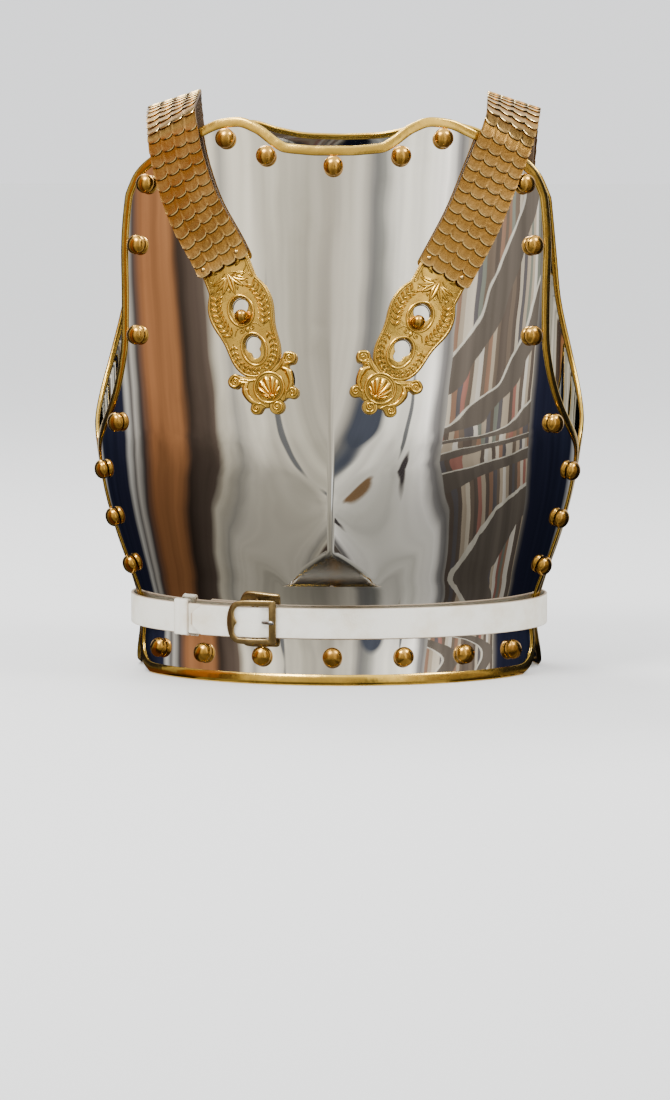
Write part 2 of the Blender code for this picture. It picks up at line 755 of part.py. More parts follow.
def bend(thing, ribbon, step):
    """Cut a flat piece across at even steps and lay it on its ribbon."""
    bm = bmesh.new()
    bm.from_mesh(thing.data)
    lowest = min(v.co.y for v in bm.verts)
    highest = max(v.co.y for v in bm.verts)
    y = lowest + step
    while y < highest - step / 2:
        bmesh.ops.bisect_plane(bm, geom=bm.verts[:] + bm.edges[:] + bm.faces[:], dist=1e-5,
                               plane_co=(0, y, 0), plane_no=(0, 1, 0))
        y += step
    bmesh.ops.triangulate(bm, faces=bm.faces)
    for v in bm.verts:
        v.co = ribbon.at(v.co.y, v.co.x, v.co.z)
    bm.to_mesh(thing.data)
    bm.free()


def finish_piece(thing, name, finish, angle=35.0):
    mesh = thing.data
    bm = bmesh.new()
    bm.from_mesh(mesh)
    bmesh.ops.remove_doubles(bm, verts=bm.verts, dist=2e-6)
    bmesh.ops.dissolve_degenerate(bm, edges=bm.edges, dist=2e-6)
    bmesh.ops.recalc_face_normals(bm, faces=bm.faces)
    bm.to_mesh(mesh)
    bm.free()
    mesh.materials.clear()
    mesh.materials.append(material(finish))
    mesh.shade_smooth()
    mesh.set_sharp_from_angle(angle=math.radians(angle))
    thing.name = name


def build_terminal(side, ribbon):
    """A cast plate with a shield body, two keyholes, a rosette and five volutes."""
    low = TERMINAL_SEAT
    high = TERMINAL_SEAT + TERMINAL_WALL
    rows = [(g.half * TERMINAL_WIDTH, g.along * TERMINAL_LENGTH) for g in TERMINAL_OUTLINE]
    tail = TERMINAL_LENGTH + TERMINAL_TAIL
    half = rows[-1][0]
    outline = rows + [(half, tail), (-half, tail)] + [(-x, y) for x, y in reversed(rows)]
    plate = prism(outline, low, high)
    centre = ROSETTE_ALONG * TERMINAL_LENGTH
    scrolls = ellipse(0, centre, SCROLL_WIDTH * TERMINAL_WIDTH / 2, ROSETTE_RADIUS * 1.05, 14, 0.5)
    combine(plate, prism(scrolls, low + 0.0001, high - 0.0002), "UNION")
    ring = ring_cut(ellipse(0, centre, ROSETTE_RADIUS, ROSETTE_RADIUS, 12),
                    ellipse(0, centre, ROSETTE_RADIUS - RIM_WIDTH, ROSETTE_RADIUS - RIM_WIDTH, 12),
                    low + 0.0004, high + RELIEF)
    combine(plate, ring, "UNION")
    shell = ellipse(0, centre, ROSETTE_RADIUS * 0.55, ROSETTE_RADIUS * 0.55, 8)
    combine(plate, prism(shell, low + 0.0005, high + RELIEF * 0.7), "UNION")
    for i, boss in enumerate(VOLUTES):
        at = boss.along * TERMINAL_LENGTH
        disc = ellipse(boss.across * TERMINAL_WIDTH, at, boss.radius, boss.radius, 8, 0.25)
        combine(plate, prism(disc, low + 0.0002 + 0.00003 * i, high + RELIEF * 0.9), "UNION")
    for hole in KEYHOLES:
        at = hole.rim_along * TERMINAL_LENGTH
        rim = ring_cut(ellipse(0, at, hole.rim_half_width, hole.rim_half_length, 12, 0.5),
                       ellipse(0, at, hole.rim_half_width - RIM_WIDTH, hole.rim_half_length - RIM_WIDTH, 12, 0.5),
                       low + 0.0006, high + RELIEF)
        combine(plate, rim, "UNION")
    for hole in KEYHOLES:
        combine(plate, prism(keyhole_outline(hole), low - RELIEF, high + 2 * RELIEF), "DIFFERENCE")
    bend(plate, ribbon, TERMINAL_LENGTH / 6)
    finish_piece(plate, side + "_terminal", "gilt")


def build_button(side, ribbon):
    s = BUTTON_ALONG * TERMINAL_LENGTH
    centre = ribbon.at(s, 0.0, CLEARANCE)
    normal = (ribbon.at(s, 0.0, 0.01) - ribbon.at(s, 0.0, 0.0)).normalized()
    ball = BUTTON_STEM + BUTTON_RADIUS
    profile = [(BUTTON_NECK, 0.0), (BUTTON_NECK, BUTTON_STEM)]
    profile += [(BUTTON_RADIUS * math.cos(a), ball + BUTTON_RADIUS * math.sin(a))
                for a in (math.radians(d) for d in (-45, 0, 50))]
    turned(side + "_button", centre, normal, profile, "brass", 10)


def belt_route(breast, back):
    """The loop round both waists, from the buckle's centre bar round the back to the tongue."""
    middle = BELT_HEIGHT * PLATE_HEIGHT
    heights = [middle + BELT_WIDTH * share for share in (-0.62, -0.3, 0.0, 0.3, 0.62)]
    width = max(breast.width_at(z) for z in heights) + BELT_STANDOFF
    fore = max(breast.depth_at(z) for z in heights) + BELT_STANDOFF
    aft = max(back.depth_at(z) for z in heights) + BELT_STANDOFF

    def place(turn):
        y = -fore * math.cos(turn) if math.cos(turn) > 0 else -aft * math.cos(turn)
        return Vector((width * math.sin(turn), y, middle))

    start = math.asin((BUCKLE_X + BUCKLE_LENGTH) / width)
    count = 360
    turns = [start - 2 * math.pi * i / count for i in range(int(count * 1.25) + 1)]
    points = [place(t) for t in turns]
    normals = []
    for i in range(len(points)):
        before = points[max(i - 1, 0)]
        after = points[min(i + 1, len(points) - 1)]
        normals.append(Vector((0, 0, 1)).cross(after - before).normalized())
    return Ribbon(points, normals)


class BeltPath:
    """Reads the belt's ribbon by the x of places on its front run."""

    def __init__(self, ribbon):
        self.ribbon = ribbon
        self.front = []
        for i, p in enumerate(ribbon.points):
            if p[1] < 0:
                self.front.append((p[0], ribbon.spans[i]))

    def first(self, x):
        return self.crossing(x, 0)

    def second(self, x):
        return self.crossing(x, -1)

    def crossing(self, x, which):
        hits = []
        for (xa, sa), (xb, sb) in zip(self.front, self.front[1:]):
            if min(xa, xb) <= x <= max(xa, xb) and abs(sb - sa) < 0.05:
                hits.append(sa + (sb - sa) * (x - xa) / (xb - xa) if xb != xa else sa)
        return hits[which]


def build_belt(breast, back):
    """One strap: it starts behind the buckle, rounds the waist and laps over its own start."""
    ribbon = belt_route(breast, back)
    path = BeltPath(ribbon)
    half = BELT_WIDTH / 2
    lift = BELT_LEATHER + CLEARANCE
    bar = path.first(BUCKLE_X)
    again = path.second(BUCKLE_X)
    tongue = path.second(TONGUE_X)
    forward = 1.0 if tongue > again else -1.0
    start = bar + forward * (CENTRE_BAR / 2 + CLEARANCE)
    rise_end = again - forward * (CENTRE_BAR + BELT_LEATHER)
    rise_start = rise_end - forward * BUCKLE_BAR * 1.2
    count = 56
    stations = [start + (rise_start - start) * i / count for i in range(count + 1)]
    keeper = path.first(KEEPER_X)
    spots = [keeper + KEEPER_WIDTH * (i / KEEPER_STEPS - 0.5) for i in range(KEEPER_STEPS + 1)]
    stations = sorted([s for s in stations if abs(s - keeper) > KEEPER_WIDTH * 0.55] + spots)
    stations += [rise_start + (rise_end - rise_start) * share for share in (0.25, 0.5, 0.75, 1.0)]
    stations += [rise_end + (tongue - rise_end) * i / 6 for i in range(1, 7)]

    def height(s):
        share = (s - rise_start) / (rise_end - rise_start)
        share = min(1.0, max(0.0, share))
        return lift * share * share * (3 - 2 * share)

    sections = []
    for i, s in enumerate(stations):
        narrow = half if i < len(stations) - 1 else half * 0.45
        low = height(s)
        sections.append([ribbon.at(s, -narrow, low), ribbon.at(s, narrow, low),
                         ribbon.at(s, narrow, low + BELT_LEATHER), ribbon.at(s, -narrow, low + BELT_LEATHER)])
    sweep("belt", sections, "leather")
    build_keeper(ribbon, keeper)
    build_buckle(ribbon, again, forward, lift, height)


def build_keeper(ribbon, s):
    """A leather loop round the belt."""
    half = BELT_WIDTH / 2 + CLEARANCE
    wall = KEEPER_LEATHER
    low = -CLEARANCE
    high = BELT_LEATHER + CLEARANCE
    sections = []
    count = KEEPER_STEPS
    corners = [(-half, low), (half, low), (half, high), (-half, high)]
    signs = [(-1, -1), (1, -1), (1, 1), (-1, 1)]
    stations = [s + KEEPER_WIDTH * (i / count - 0.5) for i in range(count + 1)]
    for (t, h), (ts, hs) in zip(corners, signs):
        inner = [ribbon.at(q, t, h) for q in stations]
        outer = [ribbon.at(q, t + ts * wall, h + hs * wall) for q in stations]
        sections.append(inner + list(reversed(outer)))
    sweep("belt_keeper", sections, "leather", closed=True)


def build_buckle(ribbon, centre, forward, lift, height):
    """A frame that rides up over the tongue, with a bar behind the strap."""
    half = BUCKLE_LENGTH / 2
    tall = BUCKLE_HEIGHT / 2
    bar = BUCKLE_BAR
    base = BELT_LEATHER + CLEARANCE

    def tilt(a):
        share = (a + half) / (2 * half)
        return base + lift * min(1.0, max(0.0, share * 1.4 - 0.2))

    def spot(a, t, h):
        return ribbon.at(centre + forward * a, t, h)

    def loop(length_out, height_out, round_out):
        side = [(-length_out, -height_out * 0.8), (-length_out + round_out, -height_out),
                (-length_out * 0.4, -height_out), (length_out * 0.3, -height_out),
                (length_out - round_out * 1.4, -height_out * 0.98), (length_out * 0.96, -height_out * 0.62),
                (length_out, 0.0)]
        return side + [(a, -t) for a, t in reversed(side[:-1])]

    outer = loop(half, tall, 0.003)
    inner = loop(half - bar, tall - bar * 0.78, 0.002)
    sections = []
    for (ao, to), (ai, ti) in zip(outer, inner):
        sections.append([(ao, to, 0.0), (ao, to, BUCKLE_WALL), (ai, ti, BUCKLE_WALL), (ai, ti, 0.0)])
    flat = [[Vector((t, a, tilt(a) + h)) for a, t, h in section] for section in sections]
    frame = sweep("buckle_frame", flat, "old_brass", closed=True)
    thick = CENTRE_BAR / 2
    post = BELT_WIDTH / 2 + CLEARANCE
    reach = tall - bar * 0.3
    outline = [(-thick, -reach), (thick, -reach), (thick, reach), (-thick, reach)]
    rod = prism([(t, a) for a, t in outline], CLEARANCE, CLEARANCE + BELT_LEATHER - 2 * CLEARANCE)
    for sign in (-1, 1):
        ends = sorted((sign * post, sign * reach))
        block = [(ends[0], -thick * 0.98), (ends[1] * 0.999, -thick * 0.98), (ends[1] * 0.999, thick * 0.98),
                 (ends[0], thick * 0.98)]
        combine(rod, prism(block, CLEARANCE * 1.5, tilt(0) + BUCKLE_WALL * 0.6), "UNION")
    combine(frame, rod, "UNION")
    bm = bmesh.new()
    bm.from_mesh(frame.data)
    for v in bm.verts:
        v.co = spot(v.co.y, v.co.x, v.co.z)
    bm.to_mesh(frame.data)
    bm.free()
    finish_piece(frame, "buckle_frame", "old_brass")
    wide = PRONG_WIDTH / 2
    tip = -half + bar + CLEARANCE
    sections = []
    for share, w, h in ((0.0, 0.7, 0.5), (0.3, 1.0, 0.75), (0.8, 1.0, 0.75), (1.0, 0.9, 0.3)):
        a = tip + share * bar
        low = height(centre + forward * a) + BELT_LEATHER + CLEARANCE
        top = low + h * BUCKLE_WALL
        sections.append([spot(a, -w * wide, low), spot(a, w * wide, low),
                         spot(a, w * wide * 0.8, top), spot(a, -w * wide * 0.8, top)])
    sweep("buckle_prong", sections, "steel")


def settle():
    """Stand the finished model on its foot, over the origin."""
    low = Vector((1e9, 1e9, 1e9))
    high = -low
    for thing in bpy.data.objects:
        for v in thing.data.vertices:
            for i in range(3):
                low[i] = min(low[i], v.co[i])
                high[i] = max(high[i], v.co[i])
    shift = Vector((-(low.x + high.x) / 2, -(low.y + high.y) / 2, -low.z))
    for thing in bpy.data.objects:
        thing.location = shift


def main():
    clear_scene()
    breast = Plate(BREAST_SECTIONS, BREAST_TOP, BREAST_DEPTH, -1, True,
                   BREAST_COLUMNS, BREAST_ROWS, BREAST_TOP_ROWS)
    back = Plate(BACK_SECTIONS, BACK_TOP, BACK_DEPTH, 1, False, BACK_COLUMNS, BACK_ROWS, BACK_TOP_ROWS)
    borders = [Border(breast), Border(back)]
    level = min(foot_level(border) for border in borders)
    for name, plate, border, stations in (("breast", breast, borders[0], BREAST_STUDS),
                                          ("back", back, borders[1], BACK_STUDS)):
        build_plate(name + "plate", border)
        build_edging(name, border, level)
        build_studs(name, plate, stations)
    for side in ("left", "right"):
        ribbon = strap_route(breast, back, STRAPS[side])
        build_strap(side, ribbon)
        build_terminal(side, ribbon)
        build_button(side, ribbon)
    build_belt(breast, back)
    settle()


main()
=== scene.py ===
"""Finishes the steel cuirass: polished plates, brass edging, studs, scaled straps, gilt terminals, belt."""

import math
from collections import namedtuple
from contextlib import contextmanager

import bpy
import numpy as np
from mathutils import Matrix, Vector


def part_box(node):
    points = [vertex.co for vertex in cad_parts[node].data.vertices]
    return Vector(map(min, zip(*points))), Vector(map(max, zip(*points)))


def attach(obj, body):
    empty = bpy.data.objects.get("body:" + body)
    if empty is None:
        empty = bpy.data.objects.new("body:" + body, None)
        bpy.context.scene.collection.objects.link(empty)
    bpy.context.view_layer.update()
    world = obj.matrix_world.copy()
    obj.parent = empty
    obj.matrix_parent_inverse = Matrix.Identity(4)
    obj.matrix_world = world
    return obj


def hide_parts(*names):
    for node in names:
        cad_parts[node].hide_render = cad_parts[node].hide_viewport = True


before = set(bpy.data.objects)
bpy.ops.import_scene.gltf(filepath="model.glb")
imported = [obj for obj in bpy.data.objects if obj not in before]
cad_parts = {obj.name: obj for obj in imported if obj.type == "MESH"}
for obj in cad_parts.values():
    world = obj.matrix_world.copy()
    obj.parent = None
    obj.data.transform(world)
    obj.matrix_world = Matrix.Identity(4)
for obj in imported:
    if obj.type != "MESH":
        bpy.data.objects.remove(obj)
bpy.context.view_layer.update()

# Sizes of the plates, edging, straps and belt, in metres
PLATE_HEIGHT = 0.453
CHEST_HALF_WIDTH = 0.205
BREAST_DEPTH = 0.1475
BACK_DEPTH = 0.128
STEEL = 0.0015
RIDGE_RISE = 0.0215
UNDERCUT_HALF_WIDTH = 0.039
UNDERCUT_FOOT = 0.172
UNDERCUT_PEAK = 0.240
FLANGE_CORNER = 0.030
SIDE_JOINT = 0.0220
EDGE_WIDTH = 0.0072
EDGE_WALL = 0.0008
CLEARANCE = 0.0003
STUD_HEIGHT = 0.0090
STUD_RADIUS = 0.0081
STUD_CUT = 0.42
BUTTON_RADIUS = 0.0054
BUTTON_NECK = 0.0024
BUTTON_STEM = 0.0034
BUTTON_PLACE = 0.661
STRAP_WIDTH = 0.0460
STRAP_LEATHER = 0.0020
STRAP_SEAT = 0.0023
SCALE_PITCH = 0.0100
SCALE_LIFT = 0.0011
SCALE_PLATE = 0.0009
SCALE_WALL = 0.0005
SCALE_SINK = 0.35
RIVET_RADIUS = 0.0019
RIVET_PLACE = 0.0068
REAR_RIVET_PLACE = 0.0075
RIVET_WEAR = 0.7
SCALLOP_DEPTH = 0.0030
SCALLOPS = 4
CREST_LEAN = 0.35
TERMINAL_LENGTH = 0.127
TERMINAL_WALL = 0.0026
TERMINAL_SEAT = 0.0006
TERMINAL_TAIL = 0.0080
BELT_HEIGHT = 0.107
BELT_WIDTH = 0.0250
BELT_LEATHER = 0.0025
BELT_STANDOFF = 0.0027
TONGUE_X = -0.114
BUCKLE_X = -0.0645
BUCKLE_LENGTH = 0.0400
BUCKLE_HEIGHT = 0.0360
BUCKLE_BAR = 0.0060
BUCKLE_WALL = 0.0025
CENTRE_BAR = 0.0022
PRONG_WIDTH = 0.0034
KEEPER_X = -0.1235
KEEPER_WIDTH = 0.0145
KEEPER_LEATHER = 0.0012
KEEPER_DROP = 0.0007
BAND_WEAR = 0.9

# How finely the plates are drawn
COLUMN_COUNT = 168
ROW_STEP = 0.0028
SOFTEN = 0.012
WELD = 2e-6

# height is a share of PLATE_HEIGHT, width of CHEST_HALF_WIDTH, depth of the plate's own depth.
# edge is the share of the way from the middle round to the side joint where the edging starts.
Section = namedtuple("Section", "height edge width depth")
BREAST_SECTIONS = [Section(*row) for row in (
    (0.000, 1.000, 0.824, 0.868), (0.026, 1.000, 0.820, 0.844), (0.049, 1.000, 0.815, 0.820),
    (0.075, 1.000, 0.807, 0.800), (0.099, 1.000, 0.805, 0.790), (0.132, 1.000, 0.817, 0.790),
    (0.155, 1.000, 0.834, 0.797), (0.172, 1.000, 0.848, 0.812), (0.201, 1.000, 0.871, 0.860),
    (0.240, 1.000, 0.900, 0.905), (0.285, 1.000, 0.931, 0.945), (0.331, 1.000, 0.956, 0.975),
    (0.395, 1.000, 0.978, 0.997), (0.441, 0.888, 0.988, 1.000), (0.475, 0.815, 0.992, 0.993),
    (0.512, 0.765, 0.995, 0.983), (0.552, 0.732, 0.998, 0.965), (0.609, 0.710, 1.000, 0.936),
    (0.693, 0.717, 1.000, 0.881), (0.795, 0.744, 0.990, 0.807), (0.883, 0.752, 0.971, 0.736),
    (1.000, 0.752, 0.937, 0.637),
)]
BACK_SECTIONS = [Section(*row) for row in (
    (0.000, 1.000, 0.824, 0.900), (0.049, 1.000, 0.815, 0.850), (0.099, 1.000, 0.805, 0.810),
    (0.150, 1.000, 0.832, 0.830), (0.265, 1.000, 0.917, 0.920), (0.395, 1.000, 0.978, 0.985),
    (0.475, 0.840, 0.992, 1.000), (0.552, 0.730, 0.998, 1.000), (0.693, 0.630, 1.000, 0.970),
    (0.883, 0.600, 0.971, 0.800), (1.000, 0.580, 0.937, 0.620),
)]

# rise is a share of RIDGE_RISE, spread a share of UNDERCUT_HALF_WIDTH.
Ridge = namedtuple("Ridge", "height rise spread")
RIDGE = [Ridge(*row) for row in (
    (0.160, 1.75, 1.00), (0.172, 1.65, 1.00), (0.205, 1.30, 1.30), (0.240, 1.00, 1.65), (0.285, 0.74, 2.00),
    (0.350, 0.45, 2.40), (0.430, 0.22, 2.70), (0.530, 0.07, 2.90), (0.640, 0.00, 3.00),
)]

# The upper outline, from the middle (0) to the armhole (1).
Outline = namedtuple("Outline", "across height")
BREAST_TOP = [Outline(*row) for row in (
    (0.000, 0.9525), (0.070, 0.9525), (0.140, 0.9545), (0.216, 0.958), (0.266, 0.968), (0.361, 0.993),
    (0.442, 1.003), (0.520, 1.000), (0.607, 0.987), (0.800, 0.950), (0.905, 0.928), (0.960, 0.910),
    (1.000, 0.880),
)]
BACK_TOP = [Outline(*row) for row in (
    (0.000, 0.975), (0.150, 0.977), (0.300, 0.988), (0.420, 1.000), (0.560, 0.992), (0.800, 0.950),
    (0.940, 0.910), (1.000, 0.870),
)]
# Rows of the plate: side and middle heights differ where a row follows the undercut's crease.
Row = namedtuple("Row", "side middle")


def level(*heights):
    return [Row(height, height) for height in heights]


BREAST_ROWS = level(0.099, 0.138, 0.172) + [
    Row(0.180, 0.240), Row(0.200, 0.258), Row(0.228, 0.280), Row(0.268, 0.305), Row(0.315, 0.330),
] + level(0.370, 0.425, 0.475, 0.520)
BACK_ROWS = level(0.099, 0.180, 0.280, 0.360, 0.410, 0.445, 0.480, 0.530, 0.590)

# Strap routes: across is a share of CHEST_HALF_WIDTH, depth of BREAST_DEPTH, height of PLATE_HEIGHT.
STRAPS = {
    "right": dict(
        front=[(0.135, 0.485), (0.295, 0.615), (0.447, 0.742), (0.542, 0.823), (0.611, 0.901), (0.675, 0.975)],
        crest=[(0.695, -0.200, 1.016), (0.697, 0.130, 1.022)],
        back=[(0.690, 0.990), (0.680, 0.925), (0.665, 0.865)]),
    "left": dict(
        front=[(-0.196, 0.484), (-0.290, 0.586), (-0.425, 0.746), (-0.540, 0.836), (-0.610, 0.925), (-0.636, 0.985)],
        crest=[(-0.650, -0.200, 1.018), (-0.660, 0.130, 1.026)],
        back=[(-0.665, 0.990), (-0.660, 0.925), (-0.650, 0.865)]),
}


def monotone(rows, column, at, start="height"):
    """Monotone cubic curve through one column of a table, read at many places."""
    xs = np.array([getattr(row, start) for row in rows])
    ys = np.array([getattr(row, column) for row in rows])
    slopes = np.diff(ys) / np.diff(xs)
    before, after = slopes[:-1], slopes[1:]
    joined = np.where(before * after > 0, 2 * before * after / np.where(before + after == 0, 1, before + after), 0)
    tangents = np.concatenate([[slopes[0]], joined, [slopes[-1]]])
    at = np.clip(at, xs[0], xs[-1])
    i = np.clip(np.searchsorted(xs, at, side="right") - 1, 0, len(xs) - 2)
    span = xs[i + 1] - xs[i]
    t = (at - xs[i]) / span
    return (ys[i] * (1 + 2 * t) * (1 - t) ** 2 + ys[i + 1] * t * t * (3 - 2 * t)
            + span * (tangents[i] * t * (1 - t) ** 2 - tangents[i + 1] * t * t * (1 - t)))


SHARES = np.linspace(0.0, 1.02, 1021)


def softened(rows, column):
    """The same curve with its small kinks rounded off, so that reflections run smoothly."""
    values = monotone(rows, column, SHARES)
    reach = int(4 * SOFTEN / (SHARES[1] - SHARES[0]))
    weights = np.exp(-0.5 * (np.arange(-reach, reach + 1) * (SHARES[1] - SHARES[0]) / SOFTEN) ** 2)
    head = 2 * values[0] - values[reach:0:-1]
    tail = 2 * values[-1] - values[-2:-reach - 2:-1]
    return np.convolve(np.concatenate([head, values, tail]), weights / weights.sum(), "valid")


def unit(v):
    return v / np.maximum(np.linalg.norm(v, axis=-1, keepdims=True), 1e-12)


def smooth_step(share):
    """A rise from 0 to 1 that starts and ends softly."""
    share = np.clip(share, 0.0, 1.0)
    return share * share * (3 - 2 * share)


class Plate:
    """A bowed plate, given by its angle round the body and its height."""

    def __init__(self, sections, top, depth, facing, ridged, rows):
        self.width = softened(sections, "width") * CHEST_HALF_WIDTH
        self.deep = softened(sections, "depth") * depth
        self.edge = softened(sections, "edge")
        self.top = top
        self.facing = facing
        self.ridged = ridged
        self.rows = rows
        self.columns = np.linspace(-1.0, 1.0, COLUMN_COUNT + 1)

    def width_at(self, z):
        return np.interp(z / PLATE_HEIGHT, SHARES, self.width)

    def depth_at(self, z):
        return np.interp(z / PLATE_HEIGHT, SHARES, self.deep)

    def edge_angle(self, z):
        if self.ridged:
            joint = SIDE_JOINT + EDGE_WIDTH
        else:
            joint = -(SIDE_JOINT - 2 * (CLEARANCE + EDGE_WALL) - CLEARANCE - EDGE_WIDTH)
        return np.arccos(joint / self.depth_at(z)) * np.interp(z / PLATE_HEIGHT, SHARES, self.edge)

    def keel(self, x, z, cosine):
        """The bow with its keel, and the facet that is cut under the keel."""
        reach = self.depth_at(z) * cosine
        share = z / PLATE_HEIGHT
        spread = monotone(RIDGE, "spread", share) * UNDERCUT_HALF_WIDTH * 1.1
        near = np.clip(1.0 - np.abs(x) / spread, 0.0, 1.0)
        swell = reach + monotone(RIDGE, "rise", share) * RIDGE_RISE * near ** 2
        foot = UNDERCUT_FOOT * PLATE_HEIGHT
        peak = UNDERCUT_PEAK * PLATE_HEIGHT
        slope = (self.depth_at(peak) + RIDGE_RISE - self.depth_at(foot)) / (peak - foot)
        facet = self.depth_at(foot) * cosine + slope * (z - foot)
        inside = (share >= UNDERCUT_FOOT) & (share <= RIDGE[-1].height)
        return np.where(inside, swell, reach), np.where(inside, facet, reach)

    def bulge(self, x, z, cosine):
        """How far the plate stands out."""
        if not self.ridged:
            return self.depth_at(z) * cosine
        return np.minimum(*self.keel(x, z, cosine))

    def point(self, angle, z):
        angle, z = np.broadcast_arrays(np.asarray(angle, float), np.asarray(z, float))
        x = -self.facing * self.width_at(z) * np.sin(angle)
        return np.stack([x, self.facing * self.bulge(x, z, np.cos(angle)), z], axis=-1)

    def normal(self, angle, z):
        step = 5e-4
        around = self.point(angle + step * 5, z) - self.point(angle - step * 5, z)
        upward = self.point(angle, z + step) - self.point(angle, z - step)
        return unit(np.cross(around, upward))

    def angle_for(self, x, z):
        return np.arcsin(np.clip(-self.facing * x / self.width_at(z), -1.0, 1.0))

    def foot_height(self, u):
        reach = (1.0 - np.abs(u)) * self.edge_angle(0.0) * self.depth_at(0.0)
        inset = np.clip(FLANGE_CORNER - reach, 0.0, FLANGE_CORNER)
        return EDGE_WIDTH + FLANGE_CORNER - np.sqrt(FLANGE_CORNER ** 2 - inset ** 2)

    def top_height(self, u):
        return monotone(self.top, "height", np.abs(u), "across") * PLATE_HEIGHT - EDGE_WIDTH

    def row_height(self, side, middle, u):
        x = np.abs(self.point(u * self.edge_angle(side), side)[..., 0])
        fall = (UNDERCUT_PEAK - UNDERCUT_FOOT) * PLATE_HEIGHT / UNDERCUT_HALF_WIDTH
        return np.maximum(side, middle - fall * x)

    def lines(self):
        """Heights of the drawn rows: they follow the foot, then the facet's crease, then the top."""
        def evenly(low, high, rise):
            count = max(1, int(rise / ROW_STEP))
            return [low + (high - low) * i / count for i in range(count)]

        u = self.columns
        waist, crown = self.rows[0].side * PLATE_HEIGHT, self.rows[-1].side * PLATE_HEIGHT
        lines = evenly(self.foot_height(u), waist, waist)
        places = np.array(self.rows) * PLATE_HEIGHT
        for low, high in zip(places, places[1:]):
            lines += [self.row_height(side, middle, u) for side, middle in evenly(low, high, (high - low).max())]
        top = self.top_height(u)
        return np.array(lines + evenly(crown, top, PLATE_HEIGHT - crown) + [top])

    def field(self):
        heights = self.lines()
        angles = self.columns[None, :] * self.edge_angle(heights)
        return self.point(angles, heights), self.normal(angles, heights)


class Border:
    """The band along a plate's edge that the brass edging wraps."""

    def __init__(self, plate):
        self.points, self.normals = plate.field()
        rows, columns = self.points.shape[:2]
        self.corner = columns - 1
        foot = [(0, c) for c in range(columns - 1)]
        right = [(r, columns - 1) for r in range(rows - 1)]
        top = [(rows - 1, c) for c in range(columns - 1, 0, -1)]
        left = [(r, 0) for r in range(rows - 1, 0, -1)]
        self.loop = foot + right + top + left
        where = tuple(np.array(self.loop).T)
        self.inner = self.points[where]
        ahead = unit(np.roll(self.inner, -1, axis=0) - self.inner)
        behind = np.roll(ahead, 1, axis=0)
        along = unit(ahead + behind)
        self.outward = unit(np.cross(along, self.normals[where]))
        self.normal = unit(np.cross(self.outward, along))
        stretch = 1.0 / np.maximum(0.8, (ahead * along).sum(axis=1, keepdims=True))
        self.outer = self.inner + self.outward * EDGE_WIDTH * stretch


breast = Plate(BREAST_SECTIONS, BREAST_TOP, BREAST_DEPTH, -1, True, BREAST_ROWS)
back = Plate(BACK_SECTIONS, BACK_TOP, BACK_DEPTH, 1, False, BACK_ROWS)


def model_shift():
    """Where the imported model's origin lies from the plates' own."""
    keel = breast.depth_at(UNDERCUT_PEAK * PLATE_HEIGHT) + RIDGE_RISE
    low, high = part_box("belt")
    middle = (low.z + high.z) / 2
    return np.array([0.0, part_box("breastplate")[0].y + keel, middle - BELT_HEIGHT * PLATE_HEIGHT])


SHIFT = model_shift()


def deselect():
    bpy.ops.object.select_all(action="DESELECT")


def choose(piece):
    deselect()
    piece.select_set(True)
    bpy.context.view_layer.objects.active = piece


@contextmanager
def editing(piece):
    """Edit mode, with the whole mesh chosen."""
    choose(piece)
    bpy.ops.object.mode_set(mode="EDIT")
    bpy.ops.mesh.select_all(action="SELECT")
    yield
    bpy.ops.object.mode_set(mode="OBJECT")


def named(piece, name):
    piece.name = name
    piece.data.name = name
    return piece


def added(operator, **values):
    """A new primitive, with its place and turn kept in its mesh."""
    deselect()
    operator(**values)
    piece = bpy.context.object
    piece.data.transform(piece.matrix_world)
    piece.matrix_world = Matrix.Identity(4)
    return piece


def coordinates(piece):
    co = np.empty(len(piece.data.vertices) * 3, np.float32)
    piece.data.vertices.foreach_get("co", co)
    return co.reshape(-1, 3).astype(float)


def move_points(piece, co):
    piece.data.vertices.foreach_set("co", np.ascontiguousarray(co, dtype=np.float32).reshape(-1))
    piece.data.update()


def grid_piece(name, places):
    """A grid primitive whose points are moved on to rows of places."""
    rows, columns = places.shape[:2]
    piece = added(bpy.ops.mesh.primitive_grid_add, x_subdivisions=columns - 1, y_subdivisions=rows - 1, size=1.0)
    move_points(piece, places)
    return named(piece, name)


def close_up(piece, caps=True):
    """Weld the meeting edges, cap open ends and turn every face outwards."""
    with editing(piece):
        bpy.ops.mesh.remove_doubles(threshold=WELD)
        if caps:
            bpy.ops.mesh.fill_holes(sides=0)
        bpy.ops.mesh.select_all(action="SELECT")
        bpy.ops.mesh.normals_make_consistent(inside=False)


def thicken(piece, thickness, even=False):
    """Give an open sheet its thickness inwards."""
    choose(piece)
    step = piece.modifiers.new("thickness", "SOLIDIFY")
    step.thickness = thickness
    step.offset = -1.0
    step.use_even_offset = even
    bpy.ops.object.modifier_apply(modifier=step.name)


def join(pieces, name):
    deselect()
    for piece in pieces:
        piece.select_set(True)
    bpy.context.view_layer.objects.active = pieces[0]
    bpy.ops.object.join()
    return named(pieces[0], name)


def mark(piece, name, values):
    """A number on each point, for the materials to read."""
    layer = piece.data.attributes.new(name, "FLOAT", "POINT")
    layer.data.foreach_set("value", np.ascontiguousarray(values, dtype=np.float32))


def finished(piece, material, node, angle=35.0):
    """Give a piece its material and shading, and put it in the node's place."""
    piece.data.materials.clear()
    piece.data.materials.append(material)
    choose(piece)
    bpy.ops.object.shade_smooth_by_angle(angle=math.radians(angle))
    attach(piece, "root")
    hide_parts(node)


def feed(tree, socket, value):
    """Link a socket to what feeds it, or set it."""
    if isinstance(value, bpy.types.NodeSocket):
        tree.links.new(value, socket)
    else:
        socket.default_value = value


